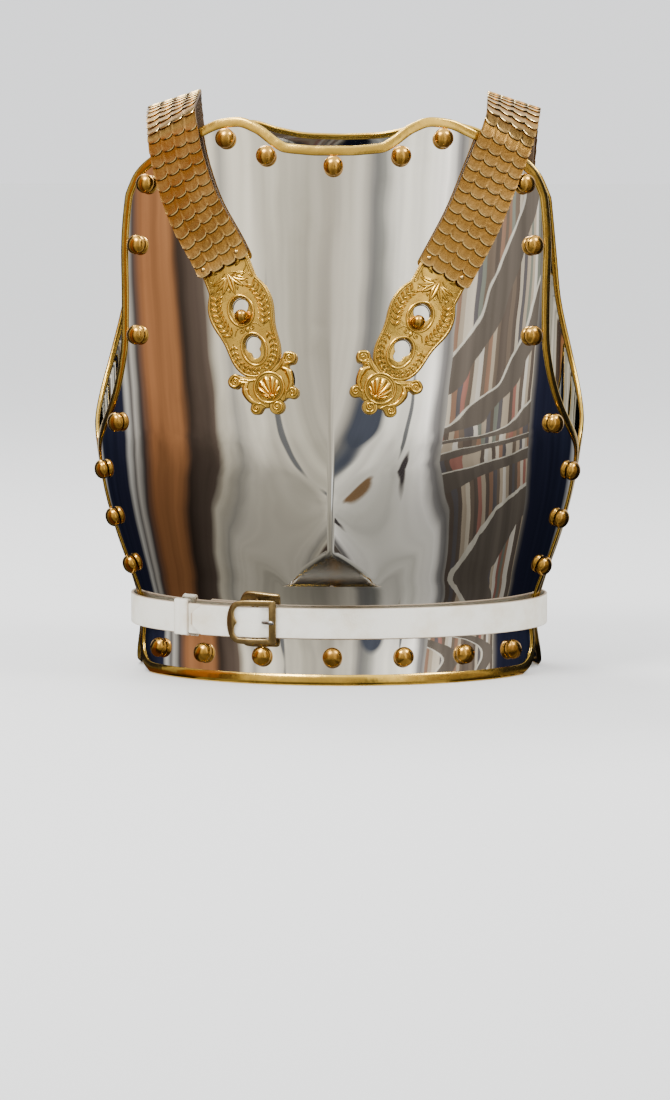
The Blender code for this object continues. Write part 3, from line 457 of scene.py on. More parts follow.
def put(tree, kind, *inputs, **values):
    """Add a node: inputs feed its first sockets in turn, values feed sockets or settings by name."""
    made = tree.nodes.new(kind)
    for socket, value in zip(made.inputs, inputs):
        feed(tree, socket, value)
    for key, value in values.items():
        if key in made.inputs:
            feed(tree, made.inputs[key], value)
        else:
            setattr(made, key, value)
    return made


def mixed(tree, share, first, second):
    made = put(tree, "ShaderNodeMix", share, data_type="RGBA")
    feed(tree, made.inputs[6], first)
    feed(tree, made.inputs[7], second)
    return made.outputs[2]


def ranged(tree, value, from_low, from_high, to_low, to_high):
    return put(tree, "ShaderNodeMapRange", value, from_low, from_high, to_low, to_high).outputs[0]


def node_group(name, outputs, **inputs):
    """A shared effect, with the kind of each output and the first value of each input."""
    tree = bpy.data.node_groups.new(name, "ShaderNodeTree")
    for label, value in inputs.items():
        kind = {1: "NodeSocketFloat", 3: "NodeSocketVector", 4: "NodeSocketColor"}[np.size(value)]
        tree.interface.new_socket(label, in_out="INPUT", socket_type=kind).default_value = value
    for label, kind in outputs.items():
        tree.interface.new_socket(label, in_out="OUTPUT", socket_type=kind)
    return tree, tree.nodes.new("NodeGroupInput").outputs, tree.nodes.new("NodeGroupOutput").inputs


def build_tarnish():
    """Patches of an older tone over a clean one, with a roughness for each."""
    tree, given, result = node_group(
        "tarnish", {"Colour": "NodeSocketColor", "Roughness": "NodeSocketFloat"},
        Clean=(1, 1, 1, 1), Aged=(0.5, 0.5, 0.5, 1), Scale=40.0, Start=0.5, Smooth=0.1, Rough=0.3)
    place = put(tree, "ShaderNodeTexCoord").outputs["Object"]
    noise = put(tree, "ShaderNodeTexNoise", Vector=place, Scale=given["Scale"], Detail=6.0, Roughness=0.6)
    end = put(tree, "ShaderNodeMath", given["Start"], 0.22, operation="ADD")
    mask = ranged(tree, noise.outputs["Fac"], given["Start"], end.outputs[0], 0.0, 1.0)
    feed(tree, result["Colour"], mixed(tree, mask, given["Clean"], given["Aged"]))
    feed(tree, result["Roughness"], ranged(tree, mask, 0.0, 1.0, given["Smooth"], given["Rough"]))
    return tree


def build_grain():
    """Small relief of one size, drawn out along an axis by its stretch."""
    tree, given, result = node_group("surface_grain", {"Height": "NodeSocketFloat"},
                                     Stretch=(1, 1, 1), Scale=400.0, Detail=3.0)
    place = put(tree, "ShaderNodeTexCoord").outputs["Object"]
    turned = put(tree, "ShaderNodeMapping", Vector=place, Scale=given["Stretch"])
    noise = put(tree, "ShaderNodeTexNoise", Vector=turned.outputs[0], Scale=given["Scale"], Detail=given["Detail"])
    feed(tree, result["Height"], noise.outputs["Fac"])
    return tree


TARNISH = build_tarnish()
GRAIN = build_grain()


def surface(name, metallic, clean, aged, patches, marks, relief, distance):
    """A material with patches of an older tone and fine relief.

    patches holds the tarnish's scale, start and two roughnesses. Each mark names a number on the mesh
    and holds the tone and the gloss it brings. relief holds the scale, detail and stretch of each grain.
    """
    made = bpy.data.materials.new(name)
    made.use_nodes = True
    tree = made.node_tree
    scale, start, smooth, rough = patches
    skin = put(tree, "ShaderNodeGroup", node_tree=TARNISH, Clean=(*clean, 1), Aged=(*aged, 1), Scale=scale,
               Start=start, Smooth=smooth, Rough=rough)
    colour, roughness = skin.outputs["Colour"], skin.outputs["Roughness"]
    for mark_name, tone, gloss in marks:
        value = put(tree, "ShaderNodeAttribute", attribute_name=mark_name).outputs["Fac"]
        colour = mixed(tree, value, colour, (*tone, 1))
        if gloss is not None:
            roughness = ranged(tree, value, 0.0, 1.0, roughness, gloss)
    heights = [put(tree, "ShaderNodeGroup", node_tree=GRAIN, Scale=size, Detail=detail, Stretch=stretch).outputs[0]
               for size, detail, stretch in relief]
    height = put(tree, "ShaderNodeMath", *heights, operation="ADD").outputs[0] if heights[1:] else heights[0]
    bump = put(tree, "ShaderNodeBump", Height=height, Strength=1.0, Distance=distance)
    shader = tree.nodes["Principled BSDF"].inputs
    feed(tree, shader["Metallic"], metallic)
    feed(tree, shader["Base Color"], colour)
    feed(tree, shader["Roughness"], roughness)
    feed(tree, shader["Normal"], bump.outputs[0])
    return made


def metal(name, clean, aged, patches, ripple, distance, **marks):
    """A metal; the low mark paints shade into its recesses and the other mark brightens its edges, partly with wear and
    partly with a painted highlight.
    """
    marks = [(mark_name, tone[:3], tone[3]) for mark_name, tone in marks.items()]
    return surface(name, 1.0, clean, aged, patches, marks, [(ripple, 2.0, (1, 1, 1))], distance)


def hide(name, clean, aged, rough, grain, distance, **marks):
    """Leather: mottled tone, pored and creased relief and, where the piece has the mark, a worn edge."""
    marks = [(mark_name, tone, None) for mark_name, tone in marks.items()]
    relief = [(grain, 4.0, (1, 1, 1)), (55.0, 2.0, (1, 1, 0.25))]
    return surface(name, 0.0, clean, aged, (28.0, 0.44, rough, rough + 0.12), marks, relief, distance)


# The mirror steel's low mark is painted shade on the facet under the keel.
MIRROR_STEEL = metal("mirror_steel", (0.86, 0.855, 0.83), (0.76, 0.75, 0.71), (16.0, 0.56, 0.022, 0.06), 9.0, 0.0006,
                     low=(0.17, 0.165, 0.16, 0.22))
DULL_STEEL = metal("dull_steel", (0.45, 0.45, 0.46), (0.30, 0.29, 0.28), (90.0, 0.45, 0.25, 0.45), 300.0, 0.0002)
STUD_BRASS = metal("stud_brass", (0.66, 0.37, 0.070), (0.40, 0.20, 0.04), (55.0, 0.48, 0.20, 0.36), 60.0, 0.0003)
EDGE_BRASS = metal("edge_brass", (0.80, 0.52, 0.10), (0.56, 0.33, 0.055), (38.0, 0.47, 0.18, 0.36), 90.0, 0.0003)
# The scale brass's edge mark is partly wear and partly painted light: a painted highlight on the rolled lower edges.
SCALE_BRASS = metal("scale_brass", (0.42, 0.222, 0.044), (0.28, 0.140, 0.030), (45.0, 0.45, 0.27, 0.42), 260.0,
                    0.00018, rub=(0.90, 0.66, 0.28, 0.14))
# The gilt's low mark is painted shade where the relief meets the ground.
GILT = metal("gilt", (0.92, 0.59, 0.115), (0.72, 0.41, 0.065), (60.0, 0.50, 0.13, 0.27), 650.0, 0.0001,
             low=(0.09, 0.045, 0.012, 0.55))
OLD_BRASS = metal("old_brass", (0.48, 0.34, 0.15), (0.25, 0.17, 0.075), (70.0, 0.44, 0.28, 0.46), 200.0, 0.0003)
WHITE_LEATHER = hide("white_leather", (0.82, 0.79, 0.69), (0.70, 0.63, 0.49), 0.46, 700.0, 0.00022,
                     edge=(0.40, 0.29, 0.19))
STRAP_HIDE = hide("strap_hide", (0.15, 0.095, 0.055), (0.09, 0.055, 0.032), 0.6, 500.0, 0.0003)


def make_plate(name, border):
    """The plate's outside with its band under the edging, then given its thickness inwards."""
    rows, columns = border.points.shape[:2]
    wide = np.empty((rows + 2, columns + 2, 3))
    wide[1:-1, 1:-1] = border.points
    for (r, c), place in zip(border.loop, border.outer):
        if r == 0:
            wide[0, c + 1] = place
        if r == rows - 1:
            wide[-1, c + 1] = place
        if c == 0:
            wide[r + 1, 0] = place
        if c == columns - 1:
            wide[r + 1, -1] = place
    for r in (0, -1):
        wide[r, 0] = wide[r, 1]
        wide[r, -1] = wide[r, -2]
    piece = grid_piece(name, wide + SHIFT)
    with editing(piece):
        bpy.ops.mesh.remove_doubles(threshold=WELD)
    thicken(piece, STEEL, even=True)
    return piece


def paint_undercut_shade(piece):
    """The facet under the keel gets painted shade: its steel is darkened and dulled, standing in for the dark
    reflection it catches.
    """
    x, _, z = (coordinates(piece) - SHIFT).T
    cosine = np.sqrt(np.clip(1.0 - (x / breast.width_at(z)) ** 2, 0.0, 1.0))
    swell, facet = breast.keel(x, z, cosine)
    mark(piece, "low", np.clip((swell - facet - 0.0002) / 0.0008, 0.0, 1.0))


# The edging's fold: how far out past the steel's seam, and how far above the steel's face
EDGE_PROFILE = np.array([
    (0.0000, 0.0003), (0.0000, 0.0008), (0.0003, 0.0011), (0.0032, 0.00122), (0.0062, 0.0011), (0.0072, 0.00085),
    (0.0079, 0.0002), (0.0082, -0.00075), (0.0079, -0.0017), (0.0072, -0.00235), (0.0062, -0.0026),
    (0.0034, -0.0026), (0.0031, -0.0023), (0.0033, -0.0018), (0.0075, -0.0018), (0.0075, 0.0003)])
FOLD_FOOT = 7


def make_edging(name, border, run, floor=False):
    """A folded brass strip round part of the plate's edge; a floor strip stands on its fold."""
    places = []
    lowest = border.outer[:, 2].min()
    for k in run:
        k = k % len(border.loop)
        fold = EDGE_PROFILE[:, :1] * border.outward[k] + EDGE_PROFILE[:, 1:] * border.normal[k]
        row = border.inner[k] + fold + SHIFT
        if floor and border.outer[k][2] < lowest + EDGE_WALL:
            row[FOLD_FOOT, 2] = 0.0
        places.append(np.vstack([row, row[:1]]))
    places = np.array(places)
    for end, nearby in ((0, 1), (-1, -2)):
        along = unit(places[nearby].mean(axis=0) - places[end].mean(axis=0))
        places[end] = places[end] + along * CLEARANCE / 2
    piece = grid_piece(name, places)
    close_up(piece)
    return piece


def seat(node):
    """Centre and direction of the flat face that a stud stands on."""
    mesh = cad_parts[node].data
    normals = np.array([tuple(p.normal) for p in mesh.polygons])
    areas = np.array([p.area for p in mesh.polygons])
    centres = np.array([tuple(p.center) for p in mesh.polygons])
    alike = normals @ normals.T > 0.999
    best = (alike * areas).sum(axis=1).argmax()
    chosen = alike[best]
    centre = (centres[chosen] * areas[chosen, None]).sum(axis=0) / areas[chosen].sum()
    return Vector(centre), -Vector(normals[best])


def stand(piece, centre, direction):
    """Move an upright model on to a seat, in its mesh."""
    turn = direction.to_track_quat("Z", "Y").to_matrix().to_4x4()
    piece.data.transform(Matrix.Translation(centre) @ turn)
    piece.data.update()


def copy_of(piece, name):
    made = piece.copy()
    made.data = piece.data.copy()
    bpy.context.scene.collection.objects.link(made)
    return named(made, name)


def make_dome():
    """A ball cut off below its middle and pressed a little flat."""
    piece = added(bpy.ops.mesh.primitive_uv_sphere_add, segments=40, ring_count=24, radius=STUD_RADIUS)
    cut = -STUD_CUT * STUD_RADIUS
    with editing(piece):
        bpy.ops.mesh.bisect(plane_co=(0, 0, cut), plane_no=(0, 0, 1), use_fill=True, clear_inner=True)
    co = coordinates(piece) - (0, 0, cut)
    move_points(piece, co * (1, 1, STUD_HEIGHT / co[:, 2].max()))
    return piece


def make_studs():
    model = make_dome()
    for node in sorted(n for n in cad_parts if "_stud_" in n):
        piece = copy_of(model, "dome_" + node)
        stand(piece, *seat(node))
        finished(piece, STUD_BRASS, node, angle=50.0)
    bpy.data.objects.remove(model)


class Ribbon:
    """A band along a smooth route: s runs along it, t across it and h stands out from it."""

    def __init__(self, points, normals):
        self.points = np.array(points)
        self.normals = unit(np.array(normals))
        spans = np.linalg.norm(np.diff(self.points, axis=0), axis=1)
        self.spans = np.concatenate([[0.0], np.cumsum(spans)])
        self.length = self.spans[-1]

    def read(self, table, s):
        return np.stack([np.interp(s, self.spans, table[:, i]) for i in range(3)], axis=-1)

    def lay(self, t, s, h):
        t, s, h = np.broadcast_arrays(np.asarray(t, float), np.asarray(s, float), np.asarray(h, float))
        step = 0.002
        along = unit(self.read(self.points, s + step) - self.read(self.points, s - step))
        across = unit(np.cross(along, self.read(self.normals, s)))
        up = np.cross(across, along)
        return self.read(self.points, s) + across * t[..., None] + up * h[..., None] + SHIFT

    def seat(self, t, s, h):
        """A place on the band and the way straight out of it."""
        centre = self.lay(t, s, h)
        return Vector(centre), Vector(self.lay(t, s, h + 0.01) - centre).normalized()


def catmull(values, steps):
    """Smooth curve through places, evenly split between each pair."""
    out = []
    for i in range(len(values) - 1):
        a, b, c, d = values[max(i - 1, 0)], values[i], values[i + 1], values[min(i + 2, len(values) - 1)]
        for k in range(steps):
            t = k / steps
            out.append(0.5 * ((2 * b) + (c - a) * t + (2 * a - 5 * b + 4 * c - d) * t ** 2
                              + (3 * b - a - 3 * c + d) * t ** 3))
    out.append(values[-1])
    return out


def strap_route(route):
    """Up the breastplate, over the shoulder and down the backplate."""
    points, normals = [], []

    def follow(plate, x, z):
        angle = plate.angle_for(x, z)
        points.append(plate.point(angle, z))
        normals.append(plate.normal(angle, z))

    front = [np.array([across * CHEST_HALF_WIDTH, height * PLATE_HEIGHT]) for across, height in route["front"]]
    for x, z in catmull(front, 6):
        follow(breast, x, z)
    for across, depth, height in route["crest"]:
        points.append(np.array([across * CHEST_HALF_WIDTH, depth * BREAST_DEPTH, height * PLATE_HEIGHT]))
        normals.append(unit(np.array([math.copysign(CREST_LEAN, across), depth, 1.0])))
    for across, height in route["back"]:
        follow(back, across * CHEST_HALF_WIDTH, height * PLATE_HEIGHT)
    return eased(Ribbon(catmull(points, 8), catmull(normals, 8)))


def smoothed(table, reach=12, spread=5.0):
    """A table of places with its small kinks rounded off."""
    weights = np.exp(-0.5 * (np.arange(-reach, reach + 1) / spread) ** 2)
    weights /= weights.sum()
    padded = np.concatenate([2 * table[:1] - table[reach:0:-1], table, 2 * table[-1:] - table[-2:-reach - 2:-1]])
    return np.stack([np.convolve(padded[:, i], weights, "valid") for i in range(3)], axis=-1)


def eased(ribbon, step=0.002):
    """The same route with its kinks eased, as a leather strap lies; its front end stays where it is."""
    s = np.arange(0.0, ribbon.length, step)
    points, normals = ribbon.read(ribbon.points, s), unit(ribbon.read(ribbon.normals, s))
    soft_points, soft_normals = smoothed(points), unit(smoothed(smoothed(normals)))
    share = smooth_step((s - TERMINAL_LENGTH * 0.98) / 0.03)[:, None]
    return Ribbon(points + (soft_points - points) * share, normals + (soft_normals - normals) * share)


def rounded_section(half, low, high, corner, middle=6):
    """A strap's cross-section with rounded corners, as (t, h) pairs, closed on itself."""
    pairs = []
    for t, h, start in ((half - corner, high - corner, 0), (-half + corner, high - corner, 90),
                        (-half + corner, low + corner, 180), (half - corner, low + corner, 270)):
        for turn in (0, 30, 60, 90):
            a = math.radians(start + turn)
            pairs.append((t + corner * math.cos(a), h + corner * math.sin(a)))
        if start in (0, 180):
            sign = 1 if start == 0 else -1
            for i in range(1, middle):
                share = i / middle
                pairs.append((sign * (half - corner) * (1 - 2 * share), high if start == 0 else low))
    return np.array(pairs + pairs[:1])


def make_band(name, ribbon, stations, section, lift=0.0, narrow=1.0):
    """A strap of one section along a ribbon; lift raises it and narrow draws its sides in."""
    t = section[None, :, 0] * np.broadcast_to(narrow, len(stations))[:, None]
    h = section[None, :, 1] + np.broadcast_to(lift, len(stations))[:, None]
    piece = grid_piece(name, ribbon.lay(t, stations[:, None], h))
    sides = np.abs(section[:, 0]) > np.abs(section[:, 0]).max() * 0.97
    worn = np.tile(sides * BAND_WEAR, (len(stations), 1))
    worn[-2:] = BAND_WEAR
    mark(piece, "edge", worn.ravel())
    close_up(piece)
    return piece


def scale_row(steps_across=48):
    """One flat row of four scales: a scalloped, rolled lower edge and a slight dome on each."""
    across = np.linspace(-STRAP_WIDTH / 2, STRAP_WIDTH / 2, steps_across + 1)
    lobe = ((across + STRAP_WIDTH / 2) / (STRAP_WIDTH / SCALLOPS)) % 1.0
    lobe[-1] = 1.0
    swing = 1.0 - (2 * lobe - 1) ** 2
    edge = SCALLOP_DEPTH * (1.0 - np.sqrt(np.clip(swing, 0.0, 1.0)))
    reach = SCALE_PITCH + SCALLOP_DEPTH + 0.0008
    # How far up the scale each line lies, how far the roll drops it and how much it is brightened: partly rubbed wear,
    # partly a painted highlight along the rolled lower edge that fades up the scale
    shares, drops, rub = np.array([
        (0.0, 0.00034, 1.0), (0.025, 0.0001, 1.0), (0.06, 0.0, 0.5), (0.12, 0.00002, 0.22), (0.3, 0.0, 0.12),
        (0.6, 0.0, 0.0), (0.8, 0.0, 0.0), (1.0, 0.0, 0.0)]).T[:, :, None]
    s = edge * (1 - shares) + reach * shares
    h = SCALE_LIFT * (1 + SCALE_SINK) * (1 - shares) - drops + 0.00022 * swing * (1 - shares) ** 0.5
    return np.broadcast_to(across, s.shape), s, h, np.broadcast_to(rub, s.shape)


def make_scales(side, ribbon):
    """Rows of scales up the strap, each over the head of the row below it, and rivets at both ends."""
    base = STRAP_SEAT + STRAP_LEATHER + CLEARANCE + SCALE_PLATE - SCALE_LIFT * SCALE_SINK
    t, s, h, rub = scale_row()
    made = []
    for i in range(int((ribbon.length - TERMINAL_LENGTH - SCALLOP_DEPTH) / SCALE_PITCH)):
        along = np.minimum(TERMINAL_LENGTH + i * SCALE_PITCH + s, ribbon.length - 0.0004)
        row = grid_piece("row", ribbon.lay(t, along, base + h))
        mark(row, "rub", rub.ravel())
        thicken(row, SCALE_WALL)
        made.append(row)
    first, last = TERMINAL_LENGTH + RIVET_PLACE, ribbon.length - REAR_RIVET_PLACE
    for across, along in ((-0.0170, first), (0.0140, first), (-0.0140, last), (0.0140, last)):
        rivet = added(bpy.ops.mesh.primitive_uv_sphere_add, segments=20, ring_count=12, radius=RIVET_RADIUS)
        move_points(rivet, coordinates(rivet) * (1, 1, 0.7))
        stand(rivet, *ribbon.seat(across, along, base + SCALE_LIFT * 0.7))
        mark(rivet, "rub", np.full(len(rivet.data.vertices), RIVET_WEAR))
        made.append(rivet)
    return join(made, side + "_scales")


def make_strap(side, ribbon):
    stations = np.arange(TERMINAL_LENGTH + TERMINAL_TAIL + CLEARANCE, ribbon.length - 0.001, 0.003)
    section = rounded_section(STRAP_WIDTH / 2 - SCALE_PLATE, STRAP_SEAT, STRAP_SEAT + STRAP_LEATHER, 0.0006)
    leather = make_band(side + "_leather", ribbon, stations, section)
    finished(leather, STRAP_HIDE, side + "_strap_leather")
    finished(make_scales(side, ribbon), SCALE_BRASS, side + "_strap_scales", angle=40.0)


# The gilt terminals are modelled flat: x across, y up from the bottom tip, z out. These are in millimetres.
MM = 0.001
GROUND = TERMINAL_SEAT + TERMINAL_WALL
NECK_HALF = 20.4
SHIELD = [(0, 33.6), (6, 34.2), (11, 36.2), (15.6, 40.0), (19.0, 46.0), (20.8, 53.0), (21.4, 60.0), (21.9, 67.0),
          (23.2, 74.0), (25.4, 82.0), (26.6, 89.0), (26.6, 95.0), (25.6, 101.0), (23.2, 107.0), (20.9, 111.5),
          (NECK_HALF, 116.0), (NECK_HALF, 125.0), (NECK_HALF, 134.6)]
OVALS = [(89.3, 10.8, 13.3), (56.3, 10.5, 13.8)]
KEYHOLES = [(93.5, 7.4, 79.6), (61.0, 7.2, 48.6)]
SLOT_HALF = 4.0
ROSE_Y = 23
TIP_Y = 6.4


def spline(points, steps=6):
    return np.array(catmull([np.array(p, float) for p in points], steps))


def mirror(side, *points):
    """Places on one side of the terminal's middle line."""
    return [(side * x, y) for x, y in points]


def flat_plate(name, outline, holes, low, high, bevel=0.0005):
    """A plate cut from a flat curve, with its edges rounded."""
    curve = bpy.data.curves.new(name, "CURVE")
    curve.dimensions = "2D"
    curve.fill_mode = "BOTH"
    curve.extrude = (high - low) / 2 - bevel
    curve.bevel_depth = bevel
    curve.bevel_resolution = 2
    curve.offset = -bevel
    for loop in [outline] + holes:
        line = curve.splines.new("POLY")
        line.points.add(len(loop) - 1)
        line.points.foreach_set("co", np.column_stack([loop, np.zeros((len(loop), 2))]).ravel())
        line.use_cyclic_u = True
    piece = bpy.data.objects.new(name, curve)
    bpy.context.scene.collection.objects.link(piece)
    choose(piece)
    bpy.ops.object.convert(target="MESH")
    piece = bpy.context.object
    move_points(piece, coordinates(piece) + (0, 0, (low + high) / 2))
    with editing(piece):
        bpy.ops.mesh.remove_doubles(threshold=WELD / 2)
    return piece


def circle(x, y, rx, ry=None, count=40, start=0.0, sweep=360.0):
    ry = rx if ry is None else ry
    closed = sweep == 360.0
    a = np.radians(start + np.linspace(0.0, sweep, count, endpoint=not closed))
    return np.column_stack([x + rx * np.cos(a), y + ry * np.sin(a)])


def keyhole(top, radius, foot):
    """A round hole with a slot below it that ends in a round."""
    dip = math.degrees(math.asin(SLOT_HALF / radius))
    head = circle(0, top, radius, count=30, start=-90 + dip, sweep=360 - 2 * dip)
    tail = circle(0, foot + SLOT_HALF, SLOT_HALF, count=12, start=180, sweep=180)
    return np.vstack([head, tail]) * MM


def raised(name, x, y, rise):
    """Relief on the terminal's face, from places and heights in millimetres."""
    x, y, rise = np.broadcast_arrays(x, y, rise)
    piece = grid_piece(name, np.stack([x * MM, y * MM, GROUND + rise * MM], axis=2))
    close_up(piece, caps=False)
    return piece


def bead(path, radius, rise=1.0, closed=False):
    """A half-round moulding along a flat path; radius may change along it."""
    path = np.asarray(path, float)
    radius = np.broadcast_to(np.asarray(radius, float), len(path))[:, None]
    ahead = np.roll(path, -1, axis=0) - np.roll(path, 1, axis=0) if closed else np.gradient(path, axis=0)
    ahead = unit(ahead)
    turns = np.radians(np.linspace(0, 180, 9))[None, :]
    out = np.cos(turns) * radius
    order = np.arange(len(path) + closed) % len(path)
    x, y = path[:, :1] + out * ahead[:, 1:], path[:, 1:] - out * ahead[:, :1]
    return raised("bead", x[order], y[order], (np.sin(turns) * radius * rise - 0.12)[order])


def tapered(count, start, middle, end):
    return np.interp(np.linspace(0, 1, count), [0, 0.35, 1], [start, middle, end])


def leaf(x, y, turn, length, width, height=0.8, curl=0.0, vein=True):
    """A leaf: turn is its bearing in degrees and curl bends it."""
    v = np.linspace(0.0, 1.0, 10)[:, None]
    w = np.linspace(-1.0, 1.0, 9)[None, :]
    half = width / 2 * np.sin(np.pi * np.clip(v, 0.02, 0.985) ** 0.8) ** 0.8
    rise = height * np.sqrt(np.clip(1 - w ** 2, 0, 1)) * np.sin(np.pi * np.clip(v, 0.03, 0.97)) ** 0.55
    if vein:
        rise = rise * (1 - 0.55 * np.exp(-(w / 0.22) ** 2))
    bearing = np.radians(turn + curl * v)
    step = length / (len(v) - 1)
    x = x + np.cumsum(np.sin(bearing) * step * (v > 0), axis=0)
    y = y + np.cumsum(np.cos(bearing) * step * (v > 0), axis=0)
    return raised("leaf", x + np.cos(bearing) * half * w, y - np.sin(bearing) * half * w, rise - 0.1)


def scroll(x, y, radius, turns, start, spin, thick, lead=()):
    """A volute: a bead that winds in to a round eye, after an optional lead-in path."""
    share = np.linspace(0.0, 1.0, int(26 * turns))
    reach = radius * (1 - 0.78 * share)
    a = np.radians(start) + spin * 2 * np.pi * turns * share
    coil = np.column_stack([x + reach * np.cos(a), y + reach * np.sin(a)])
    if lead:
        coil = np.vstack([spline(list(lead) + [tuple(coil[0])])[:-1], coil])
    wire = np.interp(np.linspace(0, 1, len(coil)), [0, 0.5, 1], [thick * 0.8, thick, thick * 0.55])
    return [bead(coil, wire, 1.1), leaf(x, y - radius * 0.26, 0, radius * 0.52, radius * 0.6, 1.3, vein=False)]


def palmette():
    """Acanthus leaves that hang from the terminal's head, the longest in the middle."""
    made = [leaf(0, 122, 180, 18.5, 6.6, 1.9)]
    for side in (1, -1):
        for turn, curl, length, width in ((24, 18, 15.0, 5.4), (46, 22, 15.5, 5.2), (68, 26, 14.5, 4.8)):
            made.append(leaf(side * 1.6, 119.5, 180 - side * turn, length, width, 1.6, -side * curl))
        for x, y, turn in ((4.5, 110.5, 200), (8.6, 111.4, 190), (12.4, 112.5, 175)):
            made.append(leaf(side * x, y, side * turn, 4.6, 2.6, 0.9))
        stem = spline(mirror(side, (2, 123), (8, 120), (14, 119.5), (17, 123)))
        made += [bead(stem, tapered(len(stem), 0.5, 0.9, 0.4)),
                 leaf(side * 16.2, 116.5, side * 150, 6.0, 2.6, 0.8, side * 20),
                 leaf(side * 8.0, 125.0, side * 60, 6.5, 2.4, 0.8, side * 20)]
    return made


def spray(points, thick, length, width, height, lean):
    """A stem with a pair of leaves at every fourth step."""
    stem = spline(points, 8)
    made = [bead(stem, tapered(len(stem), *thick))]
    for i in range(2, len(stem) - 1, 4):
        heading = math.degrees(math.atan2(*(stem[i + 1] - stem[i - 1])))
        for turn in (-lean, lean):
            made.append(leaf(*stem[i], heading + turn, length, width, height, turn * 0.5))
    return made


def sprays():
    """Laurel sprays that climb both sides of the ovals."""
    made = []
    for side in (1, -1):
        upper = mirror(side, (13.6, 71.0), (16.8, 79.0), (18.6, 88.0), (18.4, 97.0), (16.0, 105.0))
        lower = mirror(side, (14.6, 66.5), (16.2, 58.0), (14.6, 49.0), (9.6, 42.0), (3.6, 38.4))
        made += spray(upper, (0.55, 0.5, 0.3), 7.6, 3.1, 1.3, 34)
        made += spray(lower, (0.5, 0.45, 0.3), 5.4, 2.4, 1.1, 32)
        made += scroll(side * 4.6, 73.6, 2.6, 1.2, 90, side, 0.65, mirror(side, (11.5, 71.5), (8.0, 76.0)))
    made.append(leaf(0, 70.8, 0, 5.6, 3.6, 1.2, vein=False))
    return made


def rims():
    """Raised ovals round the keyholes and the double line inside the terminal's edge."""
    made = []
    for y, rx, ry in OVALS:
        made.append(bead(circle(0, y, rx - 0.5, ry - 0.5, 56), 1.15, 1.1, closed=True))
        made.append(bead(circle(0, y, rx - 2.4, ry - 2.4, 48), 0.4, 0.9, closed=True))
    for inset, radius in ((1.3, 0.85), (3.2, 0.45)):
        right = spline(SHIELD[:-3], 5)
        ahead = unit(np.gradient(right, axis=0))
        right = right + np.column_stack([-ahead[:, 1], ahead[:, 0]]) * inset
        right = right[right[:, 0] > 0.2]
        made.append(bead(np.vstack([right[::-1] * (-1, 1), right]), radius, 1.1))
        for side in (1, -1):
            made.append(bead([(side * (NECK_HALF - inset), y) for y in (112.5, 118, 124, 134)], radius * 0.8))
    return made


def shell(ribs=9, base=15.0, ring=9.0):
    """A fan of rounded ribs that opens upwards from its base and fills the ring."""
    lean = np.radians(np.linspace(-96, 96, 12 * ribs + 1))[None, :]
    share = np.linspace(0.0, 1.0, 14)[:, None]
    drop = ROSE_Y - base
    rib = np.abs(np.sin(np.linspace(0, ribs * np.pi, lean.size)))[None, :] ** 0.6
    reach = (drop * np.cos(lean) + np.sqrt(ring ** 2 - (drop * np.sin(lean)) ** 2)) * (0.90 + 0.10 * rib)
    rise = (0.35 + 0.65 * rib) * 2.3 * np.sin(np.pi * (0.10 + 0.86 * share)) ** 0.6 - 0.1
    return raised("shell", reach * share * np.sin(lean), base + reach * share * np.cos(lean), rise)


def rosette():
    return [bead(circle(0, ROSE_Y, 12.0, count=56), 1.2, 1.15, closed=True),
            bead(circle(0, ROSE_Y, 9.7, count=48), 0.5, closed=True),
            shell(), leaf(0, 12.9, 0, 5.0, 4.6, 2.5, vein=False)]


def side_scrolls():
    """Volutes at the hips, arms beside the rosette and the three curls at the tip."""
    made = []
    for side in (1, -1):
        made += scroll(side * 24.2, 38.2, 4.6, 1.35, 90 - side * 60, -side, 1.25,
                       mirror(side, (7.5, 33.0), (13.0, 34.4), (18.6, 39.0), (22.6, 43.0)))
        made.append(leaf(side * 12.6, 33.4, side * 72, 12.0, 5.0, 1.5, -side * 26))
        made.append(leaf(side * 15.6, 36.6, side * 96, 8.5, 3.6, 1.4, side * 30))
        arm = spline(mirror(side, (15.2, 33.4), (18.6, 30.0), (19.2, 24.6), (17.4, 18.6), (13.4, 14.6)))
        made.append(bead(arm, tapered(len(arm), 1.3, 3.0, 1.4), 0.8))
        made += scroll(side * 16.0, 11.8, 3.9, 1.25, 90 + side * 50, -side, 1.1, mirror(side, (8.0, 9.6), (11.0, 13.6)))
    return made + scroll(0, TIP_Y, 4.4, 1.4, 250, 1, 1.2)


def base_plates():
    """The plates under the ornament, each a hair lower than the last so that no two faces meet."""
    right = spline(SHIELD, 5)
    outlines = [(np.vstack([right, right[::-1][:-1] * (-1, 1)]), [keyhole(*hole) for hole in KEYHOLES], 0.0),
                (circle(0, ROSE_Y, 13.3, count=56), [], 0.02), (circle(0, TIP_Y, 6.2, count=36), [], 0.06)]
    for side in (1, -1):
        arm = mirror(side, (4, 36.5), (12, 37.5), (19.4, 41.6), (24.5, 44.2), (29.2, 41.4), (29.8, 36.6), (26.4, 32.8),
                     (21.6, 33.2), (20.6, 28.4), (20.6, 23.0), (18.6, 17.2), (21.0, 12.6), (19.6, 8.0), (15.0, 6.6),
                     (10.6, 9.2), (6.0, 8.4), (3.4, 14.0))
        outlines.append((spline(arm, 5)[::side], [], 0.04))
    return [flat_plate("base", outline * MM, holes, TERMINAL_SEAT, GROUND - sunk * MM)
            for outline, holes, sunk in outlines]


def make_terminal_model():
    """The whole terminal, flat, cut across so that it can follow the chest."""
    plates = base_plates()
    for piece in plates:
        heights = coordinates(piece)[:, 1]
        with editing(piece):
            for y in np.arange(4.0, 134.0, 4.0) * MM:
                if heights.min() + 1e-4 < y < heights.max() - 1e-4:
                    bpy.ops.mesh.select_all(action="SELECT")
                    bpy.ops.mesh.bisect(plane_co=(0, y, 0), plane_no=(0, 1, 0))
    return join(plates + palmette() + sprays() + rims() + rosette() + side_scrolls(), "terminal_model")


